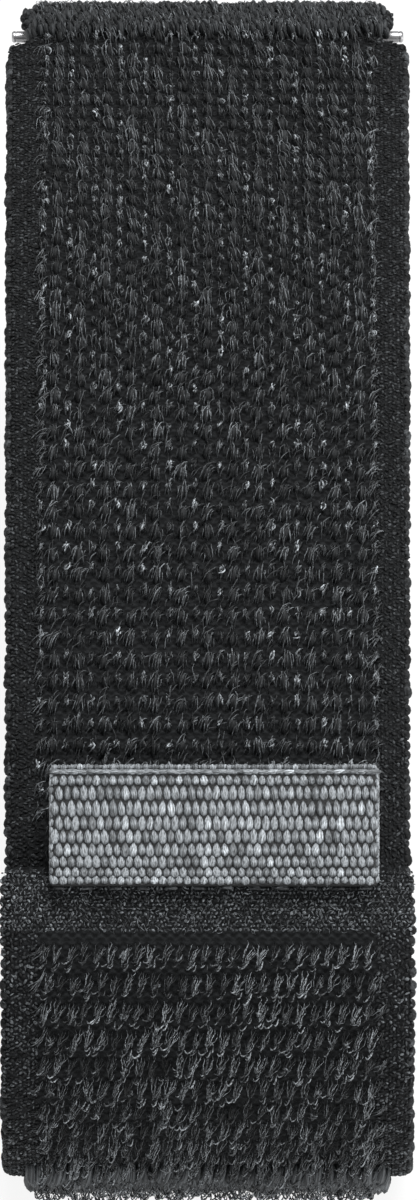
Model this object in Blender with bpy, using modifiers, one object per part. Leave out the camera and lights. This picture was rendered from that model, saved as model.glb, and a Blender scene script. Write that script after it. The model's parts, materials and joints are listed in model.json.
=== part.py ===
"""Watch strap: two woven hook-and-loop bands closed in a loop, each with a quick-release bar.

Metres, +Z up. The closed strap lies on its long band's flat back run. The origin is on the
underside of that run, halfway along it. +Y runs from the closed bend towards the watch end
and +X runs across the band.
"""

import math
from typing import NamedTuple

import bmesh
import bpy
from mathutils import Vector

# Band cloth: a thin woven base with a raised field of loops along its middle
BAND_PAST_LUGS = 0.00115
FREE_END_FLARE = 0.0006
SELVEDGE_WIDTH = 0.0021
BASE_THICKNESS = 0.0010
PILE_HEIGHT = 0.0008
PILE_ROOT = 0.0003
PILE_MARGIN = 0.0004
BAND_THICKNESS = PILE_HEIGHT + BASE_THICKNESS

# Gaps between pieces that touch on the real strap
LAYER_GAP = 0.0003
THREAD_GAP = 0.0001
RUNNING_CLEARANCE = 0.00005
CUT_OVERRUN = 0.001

# Loop: the long band's back run and near bend, and the free end that closes over the short band
BEND_RADIUS = 0.0156
BACK_RUN_LENGTH = 0.0653
FREE_END_TIP_ANGLE = math.radians(57.7)
PEEL_LINE_ANGLE = math.radians(-30.0)
HEM_LENGTH = 0.0038
TAIL_ANGLE = math.radians(-70.0)

# Top run of the short band: it rises from the bend, crests and falls to the front bar
RISE_ANGLE = math.radians(13.4)
FALL_ANGLE = math.radians(11.6)
RISE_LENGTH = 0.0100
CREST_LENGTH = 0.0460
FALL_LENGTH = 0.0186
TOP_RUN_LENGTH = RISE_LENGTH + CREST_LENGTH + FALL_LENGTH

# Hook patch under the free end
HOOK_PATCH_THICKNESS = 0.0006
HOOK_PATCH_INSET = 0.00045
HOOK_PATCH_MARGIN = 0.0012

# Pull tab: a folded ribbon sewn to the free end's hem
TAB_INSET = 0.00015
TAB_LENGTH = 0.0073
TAB_THICKNESS = 0.0009
TAB_SEAM_FROM_TIP = 0.00125
TAB_SHIFT = 0.0003
TAB_DROP_ANGLE = math.radians(7.0)

# Sewing thread
THREAD_RADIUS = 0.00009
STITCH_LENGTH = 0.0017
STITCH_CREST = 0.00010
SEAM_MARGIN = 0.0008
SEAM_FROM_TAB = 0.00035

# Watch lugs that the bars fit
LUG_GAP = 0.0220
LUG_HOLE_DEPTH = 0.0012
LUG_SIDE_CLEARANCE = 0.0001

# Bars: a tube with a fixed tip at one end and a sprung tip at the other
TUBE_RADIUS = 0.00075
TUBE_WALL = 0.00018
TUBE_EDGE = 0.00008
TIP_RADIUS = 0.000365
TIP_CHAMFER = 0.00012
TIP_LEFT_OUT = 0.0001
FLANGE_RADIUS = 0.00050
FIXED_FLANGE_LENGTH = 0.0012
SLIDING_FLANGE_LENGTH = 0.0035
CRIMP_LENGTH = 0.0004
SPRING_WIRE_RADIUS = 0.00008
SPRING_TURNS = 12
LEVER_FROM_END = 0.0026
LEVER_PEG_RADIUS = 0.00022
LEVER_KNOB_RADIUS = 0.00042
LEVER_KNOB_HEIGHT = 0.00065
LEVER_KNOB_EDGE = 0.00010
LEVER_STANDOFF = 0.0001
LEVER_WINDOW_CLEARANCE = 0.00015
BAR_SPIN_ANGLE = math.radians(15.0)

# Sleeve that each band's end folds round its bar
FOLD_RADIUS = 0.00195
SLEEVE_RAMP_LENGTH = 0.0035
FLAP_LENGTH = 0.0075
FLAP_THICKNESS = 0.0010
FLAP_SEAM_FROM_END = 0.0014
FOLD_SQUEEZE = 0.0001
FOLD_CORNER_RADIUS = 0.0014
FOLD_CORNER_REACH = 0.0012
SHOULDER_FROM_PIN = 0.0032
NOTCH_FROM_PIN = 0.00225
NOTCH_FLAT = 0.0007
NOTCH_FLARE = 0.0006

# Mesh fineness, as counts and angles
ARC_STEP = math.radians(5.0)
FOLD_STEP = math.radians(15.0)
RUN_POINTS = 28
SLOPE_STEPS = 80
ROUND_STEPS = 20
TURN_POINTS = 9
SMOOTH_ANGLE = math.radians(30.0)
WELD_DISTANCE = 0.000001

# Sizes that follow from the ones above
BAND_WIDTH = LUG_GAP + 2 * BAND_PAST_LUGS
FREE_END_WIDTH = BAND_WIDTH + FREE_END_FLARE
PILE_WIDTH = BAND_WIDTH - 2 * SELVEDGE_WIDTH
HOOK_PATCH_WIDTH = PILE_WIDTH - 2 * HOOK_PATCH_INSET
TAB_WIDTH = PILE_WIDTH - 2 * TAB_INSET
SLEEVE_WIDTH = LUG_GAP - 2 * LUG_SIDE_CLEARANCE
FOLD_WIDTH = LUG_GAP + 2 * FOLD_SQUEEZE
TUBE_LENGTH = SLEEVE_WIDTH - 2 * LUG_SIDE_CLEARANCE
TIP_REACH = (LUG_GAP - TUBE_LENGTH) / 2 + LUG_HOLE_DEPTH
TIP_TRAVEL = TIP_REACH - TIP_LEFT_OUT
BORE_RADIUS = TUBE_RADIUS - TUBE_WALL
LIP_RADIUS = TIP_RADIUS + RUNNING_CLEARANCE
FLANGE_FROM_END = CRIMP_LENGTH + RUNNING_CLEARANCE
FREE_END_INNER_RADIUS = BEND_RADIUS - BAND_THICKNESS
HOOK_PATCH_OUTER_RADIUS = FREE_END_INNER_RADIUS - LAYER_GAP
HOOK_PATCH_INNER_RADIUS = HOOK_PATCH_OUTER_RADIUS - HOOK_PATCH_THICKNESS
TAIL_RADIUS = HOOK_PATCH_INNER_RADIUS - LAYER_GAP
HEM_RADIUS = BEND_RADIUS - PILE_HEIGHT
BEND_CENTRE = Vector((-BACK_RUN_LENGTH / 2, BEND_RADIUS))

# Turns of an object: an outline's plane to the side view, and a turned shape's axis to X or down
SIDE_VIEW = (math.pi / 2, 0, math.pi / 2)
AXIS_TO_PLUS_X = (0, math.pi / 2, 0)
AXIS_TO_MINUS_X = (0, -math.pi / 2, 0)
AXIS_INWARD = (math.pi, 0, 0)
UPRIGHT = (0, 0, 0)

# Finishes: name, base colour, metallic, roughness
CHARCOAL_CLOTH = ("charcoal_cloth", (0.022, 0.023, 0.025), 0.0, 0.95)
BLACK_HOOKS = ("black_hooks", (0.012, 0.012, 0.013), 0.0, 0.6)
GREY_RIBBON = ("grey_ribbon", (0.21, 0.21, 0.22), 0.0, 0.7)
BLACK_THREAD = ("black_thread", (0.012, 0.012, 0.012), 0.0, 0.8)
POLISHED_STEEL = ("polished_steel", (0.62, 0.62, 0.63), 1.0, 0.18)
SPRING_STEEL = ("spring_steel", (0.42, 0.42, 0.43), 1.0, 0.35)


class Station(NamedTuple):
    """A point on a band's loop surface, in (Y, Z), with the surface's outward direction."""

    point: Vector
    outward: Vector

    def below(self, depth):
        return self.point - self.outward * depth


class End(NamedTuple):
    """A band's watch end: its bar's centre in (Y, Z), the way to the watch, and outward."""

    centre: Vector
    forward: Vector
    outward: Vector

    def at(self, forward, outward):
        return self.centre + self.forward * forward + self.outward * outward


def clear_scene():
    for item in list(bpy.data.objects):
        bpy.data.objects.remove(item, do_unlink=True)


def new_collection(name):
    collection = bpy.data.collections.new(name)
    bpy.context.scene.collection.children.link(collection)
    return collection


# Places in the side view

def spaced(first, last, parts):
    return [first + (last - first) * i / parts for i in range(parts + 1)]


def arc_angles(start, end, step):
    """Angles from start to end, with none of the equal parts larger than the step."""
    return spaced(start, end, max(1, math.ceil(abs(end - start) / step)))


def on_bend(angle, radius):
    """A point round the bend, by its angle above the level line to the near side."""
    return BEND_CENTRE + Vector((-math.cos(angle), math.sin(angle))) * radius


def bend_stations(start, end, radius):
    return [
        Station(on_bend(angle, radius), Vector((-math.cos(angle), math.sin(angle))))
        for angle in arc_angles(start, end, ARC_STEP)
    ]


def top_run_slope(distance):
    """The top run's slope this far from the bend: it eases from the rise to the fall."""
    share = min(max((distance - RISE_LENGTH) / CREST_LENGTH, 0), 1)
    turned_share = share * share * (3 - 2 * share)
    return RISE_ANGLE - (RISE_ANGLE + FALL_ANGLE) * turned_share


def top_run_station(distance):
    """The station this far along the top run from where it leaves the bend."""
    point = on_bend(math.pi / 2 - RISE_ANGLE, TAIL_RADIUS)
    part = distance / SLOPE_STEPS
    for i in range(SLOPE_STEPS):
        slope = top_run_slope((i + 0.5) * part)
        point = point + Vector((math.cos(slope), math.sin(slope))) * part
    slope = top_run_slope(distance)
    return Station(point, Vector((-math.sin(slope), math.cos(slope))))


def top_run_stations(first, last):
    return [top_run_station(distance) for distance in spaced(first, last, RUN_POINTS)]


def front_end():
    last = top_run_station(TOP_RUN_LENGTH)
    forward = Vector((last.outward.y, -last.outward.x))
    return End(last.below(FOLD_RADIUS), forward, last.outward)


def rear_end():
    return End(Vector((BACK_RUN_LENGTH / 2, FOLD_RADIUS)), Vector((1, 0)), Vector((0, -1)))


def tangent_angle(point, side):
    """Where a line from a point, in an end's own (forward, outward), meets the fold circle."""
    reach = math.hypot(*point)
    return math.atan2(point[1], point[0]) - side * math.acos(FOLD_RADIUS / reach)


def fold_outline(end):
    """The sleeve's outline, from the base's outer face round the bar to the flap's end."""
    base_outer = FOLD_RADIUS - PILE_HEIGHT
    base_inner = FOLD_RADIUS - BAND_THICKNESS
    flap_inner = base_inner - FLAP_THICKNESS
    ramp_foot = (-SLEEVE_RAMP_LENGTH, base_outer)
    flap_foot = (-SLEEVE_RAMP_LENGTH, flap_inner)
    start = tangent_angle(ramp_foot, 1)
    last = tangent_angle(flap_foot, -1)
    angles = arc_angles(start, last, FOLD_STEP)
    local = [ramp_foot]
    local += [(FOLD_RADIUS * math.cos(a), FOLD_RADIUS * math.sin(a)) for a in angles]
    local += [flap_foot, (-FLAP_LENGTH, flap_inner), (-FLAP_LENGTH, base_inner)]
    return [end.at(forward, outward) for forward, outward in local]


def slab(stations, near_depth, far_depth):
    """The outline of a layer between two depths under the loop surface."""
    near = [station.below(near_depth) for station in stations]
    far = [station.below(far_depth) for station in stations]
    return near + far[::-1]


# Objects from Blender's tools

def material(finish):
    name, colour, metallic, roughness = finish
    made = bpy.data.materials.new(name)
    made.use_nodes = True
    surface = made.node_tree.nodes["Principled BSDF"]
    surface.inputs["Base Color"].default_value = (*colour, 1)
    surface.inputs["Metallic"].default_value = metallic
    surface.inputs["Roughness"].default_value = roughness
    made.diffuse_color = (*colour, 1)
    return made


def smooth(mesh):
    mesh.shade_smooth()
    mesh.set_sharp_from_angle(angle=SMOOTH_ANGLE)


class Workshop:
    """Makes the strap's objects in one collection, and their cutters in another."""

    def __init__(self):
        self.pieces = new_collection("watch_strap")
        self.cutters = new_collection("cutters")

    def empty(self, name, location, rotation=UPRIGHT, parent=None):
        made = bpy.data.objects.new(name, None)
        self.pieces.objects.link(made)
        made.location = location
        made.rotation_euler = rotation
        made.parent = parent
        return made

    def piece(self, name, mesh, finish, parent=None, location=(0, 0, 0), rotation=UPRIGHT):
        made = bpy.data.objects.new(name, mesh)
        self.pieces.objects.link(made)
        mesh.materials.clear()
        mesh.materials.append(material(finish))
        made.location = location
        made.rotation_euler = rotation
        made.parent = parent
        return made

    def cutter(self, name, mesh, parent=None, location=(0, 0, 0), rotation=UPRIGHT):
        made = bpy.data.objects.new(name, mesh)
        self.cutters.objects.link(made)
        made.location = location
        made.rotation_euler = rotation
        made.parent = parent
        made.hide_render = True
        made.display_type = "WIRE"
        return made


def combine(target, tool, operation):
    joined = target.modifiers.new(tool.name, "BOOLEAN")
    joined.operation = operation
    joined.solver = "EXACT"
    joined.object = tool


def mesh_of_curve(curve):
    """The closed mesh of a filled curve, made on an object that is removed again."""
    holder = bpy.data.objects.new(curve.name, curve)
    bpy.context.scene.collection.objects.link(holder)
    bpy.context.view_layer.update()
    view = bpy.context.evaluated_depsgraph_get()
    mesh = bpy.data.meshes.new_from_object(holder.evaluated_get(view))
    shape = bmesh.new()
    shape.from_mesh(mesh)
    bmesh.ops.remove_doubles(shape, verts=shape.verts, dist=WELD_DISTANCE)
    bmesh.ops.recalc_face_normals(shape, faces=shape.faces)
    shape.to_mesh(mesh)
    shape.free()
    smooth(mesh)
    bpy.data.objects.remove(holder, do_unlink=True)
    return mesh


def poly_spline(curve, points):
    spline = curve.splines.new("POLY")
    spline.points.add(len(points) - 1)
    for slot, point in zip(spline.points, points):
        slot.co = (*point, 1)
    return spline


def plate_mesh(name, outline, width, origin=Vector((0, 0))):
    """A flat outline, extruded to a width centred on its own plane."""
    curve = bpy.data.curves.new(name, "CURVE")
    curve.dimensions = "2D"
    curve.fill_mode = "BOTH"
    curve.extrude = width / 2
    spline = poly_spline(curve, [(p[0] - origin[0], p[1] - origin[1], 0) for p in outline])
    spline.use_cyclic_u = True
    return mesh_of_curve(curve)


def wire_mesh(name, points, radius, resolution):
    """A round wire along points, with closed ends."""
    curve = bpy.data.curves.new(name, "CURVE")
    curve.dimensions = "3D"
    curve.bevel_depth = radius
    curve.bevel_resolution = resolution
    curve.use_fill_caps = True
    poly_spline(curve, points)
    return mesh_of_curve(curve)


def profile_mesh(name, profile, closed=False):
    """The edges of a turned shape's profile, given as (radius, height) from the top down."""
    mesh = bpy.data.meshes.new(name)
    edges = [(i, i + 1) for i in range(len(profile) - 1)]
    if closed:
        edges.append((len(profile) - 1, 0))
    mesh.from_pydata([(radius, 0, height) for radius, height in profile], edges, [])
    return mesh


def turn(made):
    """Turns an object's profile once round its own Z axis."""
    screw = made.modifiers.new("turned", "SCREW")
    screw.steps = ROUND_STEPS
    screw.render_steps = ROUND_STEPS
    screw.use_merge_vertices = True
    screw.merge_threshold = WELD_DISTANCE
    screw.use_smooth_shade = True
    return made


def box_mesh(name, low, high):
    mesh = bpy.data.meshes.new(name)
    shape = bmesh.new()
    bmesh.ops.create_cube(shape, size=1)
    for vertex in shape.verts:
        vertex.co = [
            (a + b) / 2 + corner * (b - a) for a, b, corner in zip(low, high, vertex.co)
        ]
    shape.to_mesh(mesh)
    shape.free()
    return mesh


# The bands

def add_side_piece(shop, name, outline, width, finish, origin):
    mesh = plate_mesh(name, outline, width, origin)
    return shop.piece(name, mesh, finish, location=(0, *origin), rotation=SIDE_VIEW)


def add_pile(shop, band, stations, origin):
    """Joins the raised loop field to a band's base."""
    outline = slab(stations, 0, PILE_HEIGHT + PILE_ROOT)
    mesh = plate_mesh(f"{band.name}_pile", outline, PILE_WIDTH, origin)
    pile = shop.cutter(mesh.name, mesh, location=(0, *origin), rotation=SIDE_VIEW)
    combine(band, pile, "UNION")


def side_cut_outline(side):
    """What is cut from one side of a band's end, as (across, forward) from its bar."""
    band_half = BAND_WIDTH / 2
    sleeve_half = SLEEVE_WIDTH / 2
    fold_half = FOLD_WIDTH / 2
    corner_centre = FOLD_CORNER_REACH - FOLD_CORNER_RADIUS
    notch_back = -NOTCH_FROM_PIN - NOTCH_FLAT / 2
    notch_front = notch_back + NOTCH_FLAT
    beyond = FOLD_RADIUS + CUT_OVERRUN
    points = [
        (band_half + CUT_OVERRUN, -SHOULDER_FROM_PIN),
        (band_half, -SHOULDER_FROM_PIN),
        (sleeve_half, notch_back),
        (sleeve_half, notch_front),
        (fold_half, notch_front + NOTCH_FLARE),
    ]
    for angle in arc_angles(0, math.pi / 2, FOLD_STEP):
        across = fold_half - FOLD_CORNER_RADIUS + FOLD_CORNER_RADIUS * math.cos(angle)
        points.append((across, corner_centre + FOLD_CORNER_RADIUS * math.sin(angle)))
    points.append((fold_half - FOLD_CORNER_RADIUS, beyond))
    points.append((band_half + CUT_OVERRUN, beyond))
    return [(side * across, forward) for across, forward in points]


def lever_place():
    return TUBE_LENGTH / 2 - LEVER_FROM_END


def cut_end(shop, band, pin):
    """Cuts a band's watch end: its side notches, the bar's bore and the lever's window."""
    thick = 2 * (FOLD_RADIUS + CUT_OVERRUN)
    for side, label in ((1, "right"), (-1, "left")):
        mesh = plate_mesh(f"{band.name}_{label}_cut", side_cut_outline(side), thick)
        combine(band, shop.cutter(mesh.name, mesh, pin), "DIFFERENCE")
    bore_half = SLEEVE_WIDTH / 2 + CUT_OVERRUN
    bore_radius = TUBE_RADIUS + RUNNING_CLEARANCE
    profile = [(0, bore_half), (bore_radius, bore_half), (bore_radius, -bore_half), (0, -bore_half)]
    bore = shop.cutter(
        f"{band.name}_bore", profile_mesh("bore", profile), pin, rotation=AXIS_TO_PLUS_X
    )
    combine(band, turn(bore), "DIFFERENCE")
    half_width = FOLD_RADIUS * math.sin(BAR_SPIN_ANGLE) + LEVER_PEG_RADIUS + LEVER_WINDOW_CLEARANCE
    reach = LEVER_PEG_RADIUS + LEVER_WINDOW_CLEARANCE
    low = (lever_place() - TIP_TRAVEL - reach, -half_width, -FOLD_RADIUS - CUT_OVERRUN)
    high = (lever_place() + reach, half_width, 0)
    window = shop.cutter(f"{band.name}_window", box_mesh("window", low, high), pin)
    combine(band, window, "DIFFERENCE")


def add_short_band(shop, pin, end):
    """The short band: its tail under the free end, the top run and the front sleeve."""
    leave_angle = math.pi / 2 - RISE_ANGLE
    tail = bend_stations(TAIL_ANGLE, leave_angle, TAIL_RADIUS)
    outer_run = top_run_stations(0, TOP_RUN_LENGTH - SLEEVE_RAMP_LENGTH)
    inner_run = top_run_stations(TOP_RUN_LENGTH - FLAP_LENGTH, 0)
    outline = [s.below(PILE_HEIGHT) for s in tail + outer_run[1:-1]]
    outline += fold_outline(end)
    outline += [s.below(BAND_THICKNESS) for s in inner_run[1:] + tail[-2::-1]]
    band = add_side_piece(shop, "short_band", outline, BAND_WIDTH, CHARCOAL_CLOTH, BEND_CENTRE)
    pile_start = TAIL_ANGLE + PILE_MARGIN / TAIL_RADIUS
    pile = bend_stations(pile_start, leave_angle, TAIL_RADIUS)
    pile += top_run_stations(0, TOP_RUN_LENGTH - PILE_MARGIN)[1:]
    add_pile(shop, band, pile, BEND_CENTRE)
    cut_end(shop, band, pin)


def add_long_band(shop, pin, end):
    """The long band: the rear sleeve, the back run and the bend up to the peel line."""
    bend = bend_stations(-math.pi / 2, PEEL_LINE_ANGLE, BEND_RADIUS)
    outline = [s.below(PILE_HEIGHT) for s in bend[::-1]]
    outline += fold_outline(end)
    outline += [s.below(BAND_THICKNESS) for s in bend]
    origin = Vector((0, 0))
    band = add_side_piece(shop, "long_band", outline, BAND_WIDTH, CHARCOAL_CLOTH, origin)
    pile_end = PEEL_LINE_ANGLE - PILE_MARGIN / BEND_RADIUS
    pile = [Station(end.at(-PILE_MARGIN, FOLD_RADIUS), end.outward)]
    pile += bend_stations(-math.pi / 2, pile_end, BEND_RADIUS)
    add_pile(shop, band, pile, origin)
    cut_end(shop, band, pin)


def peel_axis():
    return on_bend(PEEL_LINE_ANGLE, BEND_RADIUS)


def add_free_end(shop):
    """The long band's end past the peel line, with its bare hem."""
    hinge = peel_axis()
    start = PEEL_LINE_ANGLE + LAYER_GAP / BEND_RADIUS
    outline = slab(
        bend_stations(start, FREE_END_TIP_ANGLE, BEND_RADIUS), PILE_HEIGHT, BAND_THICKNESS
    )
    band = add_side_piece(shop, "free_end", outline, FREE_END_WIDTH, CHARCOAL_CLOTH, hinge)
    pile_start = start + PILE_MARGIN / BEND_RADIUS
    pile_end = FREE_END_TIP_ANGLE - HEM_LENGTH / HEM_RADIUS
    add_pile(shop, band, bend_stations(pile_start, pile_end, BEND_RADIUS), hinge)


def add_hook_patch(shop):
    margin_angle = HOOK_PATCH_MARGIN / HOOK_PATCH_OUTER_RADIUS
    start = PEEL_LINE_ANGLE + margin_angle
    end = FREE_END_TIP_ANGLE - margin_angle
    outline = slab(bend_stations(start, end, HOOK_PATCH_OUTER_RADIUS), 0, HOOK_PATCH_THICKNESS)
    add_side_piece(shop, "hook_patch", outline, HOOK_PATCH_WIDTH, BLACK_HOOKS, peel_axis())


# The pull tab and the seams

def tab_seam_angle():
    return FREE_END_TIP_ANGLE - TAB_SEAM_FROM_TIP / HEM_RADIUS


def pull_tab_axis():
    """The outer corner of the tab's sewn end, which it flips up round."""
    return on_bend(tab_seam_angle(), HEM_RADIUS + LAYER_GAP + TAB_THICKNESS)


def add_pull_tab(shop):
    """The folded ribbon, lying from its seam over the free end's tip, with a round fold."""
    slope = math.pi / 2 - tab_seam_angle() - TAB_DROP_ANGLE
    hinge = shop.empty("pull_tab_axis", (TAB_SHIFT, *pull_tab_axis()), (slope, 0, 0))
    half = TAB_THICKNESS / 2
    outline = [(0, 0), (0, -TAB_THICKNESS)]
    for angle in arc_angles(-math.pi / 2, math.pi / 2, FOLD_STEP):
        along = TAB_LENGTH - half + half * math.cos(angle)
        outline.append((along, -half + half * math.sin(angle)))
    mesh = plate_mesh("pull_tab", outline, TAB_WIDTH)
    shop.piece("pull_tab", mesh, GREY_RIBBON, hinge, rotation=SIDE_VIEW)


def add_seam(shop, name, width, location, rotation, parent=None):
    """One sewing thread across a band, whose stitches rise and dip along it."""
    stitches = max(2, round(width / STITCH_LENGTH))
    parts = 4 * stitches
    points = []
    for i, across in enumerate(spaced(-width / 2, width / 2, parts)):
        rise = STITCH_CREST * (1 - math.cos(2 * math.pi * i * stitches / parts)) / 2
        points.append((across, 0, THREAD_RADIUS + THREAD_GAP + rise))
    mesh = wire_mesh(name, points, THREAD_RADIUS, 1)
    shop.piece(name, mesh, BLACK_THREAD, parent, location, rotation)


def add_tab_seam(shop):
    angle = tab_seam_angle() - SEAM_FROM_TAB / HEM_RADIUS
    place = on_bend(angle, HEM_RADIUS)
    turned = (math.pi / 2 - angle, 0, 0)
    add_seam(shop, "tab_stitching", TAB_WIDTH - SEAM_MARGIN, (TAB_SHIFT, *place), turned)


def add_sleeve_seam(shop, name, pin):
    """The seam that closes a sleeve, on the flap's face towards the wrist."""
    inner = FOLD_RADIUS - BAND_THICKNESS - FLAP_THICKNESS
    place = (0, -FLAP_LENGTH + FLAP_SEAM_FROM_END, inner)
    add_seam(shop, name, SLEEVE_WIDTH - 2 * SEAM_MARGIN, place, AXIS_INWARD, pin)


# The quick-release bars, each in its pin's own frame: X along the bar, Z outward

def tube_profile():
    half = TUBE_LENGTH / 2
    inner_half = half - CRIMP_LENGTH
    return [
        (LIP_RADIUS, half),
        (TUBE_RADIUS - TUBE_EDGE, half),
        (TUBE_RADIUS, half - TUBE_EDGE),
        (TUBE_RADIUS, -half + TUBE_EDGE),
        (TUBE_RADIUS - TUBE_EDGE, -half),
        (LIP_RADIUS, -half),
        (LIP_RADIUS, -inner_half),
        (BORE_RADIUS, -inner_half),
        (BORE_RADIUS, inner_half),
        (LIP_RADIUS, inner_half),
    ]


def tip_profile(flange_length):
    tip = TUBE_LENGTH / 2 + TIP_REACH
    flange_top = TUBE_LENGTH / 2 - FLANGE_FROM_END
    return [
        (0, tip),
        (TIP_RADIUS - TIP_CHAMFER, tip),
        (TIP_RADIUS, tip - TIP_CHAMFER),
        (TIP_RADIUS, flange_top),
        (FLANGE_RADIUS, flange_top),
        (FLANGE_RADIUS, flange_top - flange_length),
        (0, flange_top - flange_length),
    ]


def lever_profile():
    peg_foot = FLANGE_RADIUS + RUNNING_CLEARANCE
    knob_foot = FOLD_RADIUS + LEVER_STANDOFF
    knob_top = knob_foot + LEVER_KNOB_HEIGHT
    return [
        (0, knob_top),
        (LEVER_KNOB_RADIUS - LEVER_KNOB_EDGE, knob_top),
        (LEVER_KNOB_RADIUS, knob_top - LEVER_KNOB_EDGE),
        (LEVER_KNOB_RADIUS, knob_foot),
        (LEVER_PEG_RADIUS, knob_foot),
        (LEVER_PEG_RADIUS, peg_foot),
        (0, peg_foot),
    ]


def spring_points():
    """A compression spring between the two flanges, with room for its wire at each end."""
    flange_top = TUBE_LENGTH / 2 - FLANGE_FROM_END
    clear = SPRING_WIRE_RADIUS + RUNNING_CLEARANCE
    start = -flange_top + FIXED_FLANGE_LENGTH + clear
    end = flange_top - SLIDING_FLANGE_LENGTH - clear
    coil_radius = BORE_RADIUS - clear
    count = SPRING_TURNS * TURN_POINTS
    points = []
    for i, along in enumerate(spaced(start, end, count)):
        angle = 2 * math.pi * i / TURN_POINTS
        points.append((along, coil_radius * math.cos(angle), coil_radius * math.sin(angle)))
    return points


def least_gap(points, radius):
    """The smallest space between a wound wire's surface and itself, a turn or more away."""
    places = [Vector(point) for point in points]
    apart = [
        (places[j] - places[i]).length
        for i in range(len(places))
        for j in range(i + TURN_POINTS, len(places))
    ]
    return min(apart) - 2 * radius


def cut_lever_slot(shop, tube, pin):
    reach = LEVER_PEG_RADIUS + RUNNING_CLEARANCE
    low = (lever_place() - TIP_TRAVEL - reach, -reach, -TUBE_RADIUS - CUT_OVERRUN)
    high = (lever_place() + reach, reach, 0)
    slot = shop.cutter(f"{tube.name}_slot", box_mesh("slot", low, high), pin)
    combine(tube, slot, "DIFFERENCE")


def add_bar(shop, name, pin):
    tube_shape = profile_mesh("tube", tube_profile(), closed=True)
    tube = turn(
        shop.piece(f"{name}_bar_tube", tube_shape, POLISHED_STEEL, pin, rotation=AXIS_TO_PLUS_X)
    )
    cut_lever_slot(shop, tube, pin)
    fixed = profile_mesh("fixed_tip", tip_profile(FIXED_FLANGE_LENGTH))
    turn(
        shop.piece(f"{name}_bar_fixed_tip", fixed, POLISHED_STEEL, pin, rotation=AXIS_TO_MINUS_X)
    )
    sliding = profile_mesh("sliding_tip", tip_profile(SLIDING_FLANGE_LENGTH))
    turn(
        shop.piece(f"{name}_bar_sliding_tip", sliding, POLISHED_STEEL, pin, rotation=AXIS_TO_PLUS_X)
    )
    lever = profile_mesh("lever", lever_profile())
    place = (lever_place(), 0, 0)
    turn(
        shop.piece(f"{name}_bar_lever", lever, POLISHED_STEEL, pin, place, rotation=AXIS_INWARD)
    )
    spring = wire_mesh("spring", spring_points(), SPRING_WIRE_RADIUS, 1)
    shop.piece(f"{name}_bar_spring", spring, SPRING_STEEL, pin)


def main():
    clear_scene()
    shop = Workshop()
    front = front_end()
    rear = rear_end()
    front_pin = shop.empty("front_bar_axis", (0, *front.centre), (-FALL_ANGLE, 0, 0))
    rear_pin = shop.empty("rear_bar_axis", (0, *rear.centre), (0, math.pi, 0))
    add_long_band(shop, rear_pin, rear)
    add_free_end(shop)
    add_hook_patch(shop)
    add_short_band(shop, front_pin, front)
    add_pull_tab(shop)
    add_tab_seam(shop)
    add_sleeve_seam(shop, "front_sleeve_stitching", front_pin)
    add_sleeve_seam(shop, "rear_sleeve_stitching", rear_pin)
    add_bar(shop, "front", front_pin)
    add_bar(shop, "rear", rear_pin)
    places = {
        "front bar": front.centre,
        "rear bar": rear.centre,
        "bend": BEND_CENTRE,
        "peel line": peel_axis(),
        "pull tab axis": pull_tab_axis(),
    }
    for name, place in places.items():
        print(name, "at Y and Z", *place)
    print("each spring's least gap to itself", least_gap(spring_points(), SPRING_WIRE_RADIUS))


main()
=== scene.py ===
"""The looks of a woven hook-and-loop watch strap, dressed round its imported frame.

Metres, +Z up, in the frame's own axes: X across the band and +Y towards the watch end. Each piece
of cloth follows a rail, which is a row of stations in the side view, as (Y, Z).
"""

import enum
import itertools
import json
import logging
import math
import random
from collections.abc import Callable, Iterable, Sequence
from dataclasses import dataclass, fields, replace
from typing import ClassVar

import bmesh
import bpy
from mathutils import Matrix, Vector
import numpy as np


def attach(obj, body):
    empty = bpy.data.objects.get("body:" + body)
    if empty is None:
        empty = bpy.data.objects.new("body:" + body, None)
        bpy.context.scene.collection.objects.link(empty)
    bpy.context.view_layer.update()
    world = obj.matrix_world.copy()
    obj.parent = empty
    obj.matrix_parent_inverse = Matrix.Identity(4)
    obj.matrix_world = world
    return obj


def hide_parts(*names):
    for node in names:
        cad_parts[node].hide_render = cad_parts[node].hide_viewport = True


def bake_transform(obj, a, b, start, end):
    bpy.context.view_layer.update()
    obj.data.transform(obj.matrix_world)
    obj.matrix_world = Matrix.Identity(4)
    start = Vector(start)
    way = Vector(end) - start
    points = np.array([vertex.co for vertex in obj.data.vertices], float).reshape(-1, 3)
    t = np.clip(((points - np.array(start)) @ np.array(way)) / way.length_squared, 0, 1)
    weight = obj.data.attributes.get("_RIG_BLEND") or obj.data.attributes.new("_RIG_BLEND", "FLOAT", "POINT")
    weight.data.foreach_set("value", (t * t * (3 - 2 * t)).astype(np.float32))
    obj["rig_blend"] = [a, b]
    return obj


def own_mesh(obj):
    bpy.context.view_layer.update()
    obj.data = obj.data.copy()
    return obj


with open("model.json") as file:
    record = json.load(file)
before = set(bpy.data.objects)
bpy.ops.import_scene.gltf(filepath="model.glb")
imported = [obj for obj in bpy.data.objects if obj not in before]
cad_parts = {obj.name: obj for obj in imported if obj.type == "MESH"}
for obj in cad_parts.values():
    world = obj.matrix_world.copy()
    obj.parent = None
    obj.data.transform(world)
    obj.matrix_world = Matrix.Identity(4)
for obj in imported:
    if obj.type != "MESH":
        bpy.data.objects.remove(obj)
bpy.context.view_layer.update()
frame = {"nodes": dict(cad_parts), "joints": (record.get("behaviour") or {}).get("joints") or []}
LOG = logging.getLogger("watch_strap")

JOINTS = {joint["name"]: joint for joint in frame["joints"]}
SMALL = 1e-9
SHORTEST_PITCH = 0.00005


class Body(enum.Enum):
    """The frame's bodies that the pieces ride on."""

    LONG_BAND = "long_band"
    FREE_END = "free_end"
    PULL_TAB = "pull_tab"
    SHORT_BAND = "short_band"
    FRONT_BAR = "front_bar"
    FRONT_RELEASE = "front_release"
    REAR_BAR = "rear_bar"
    REAR_RELEASE = "rear_release"


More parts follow.
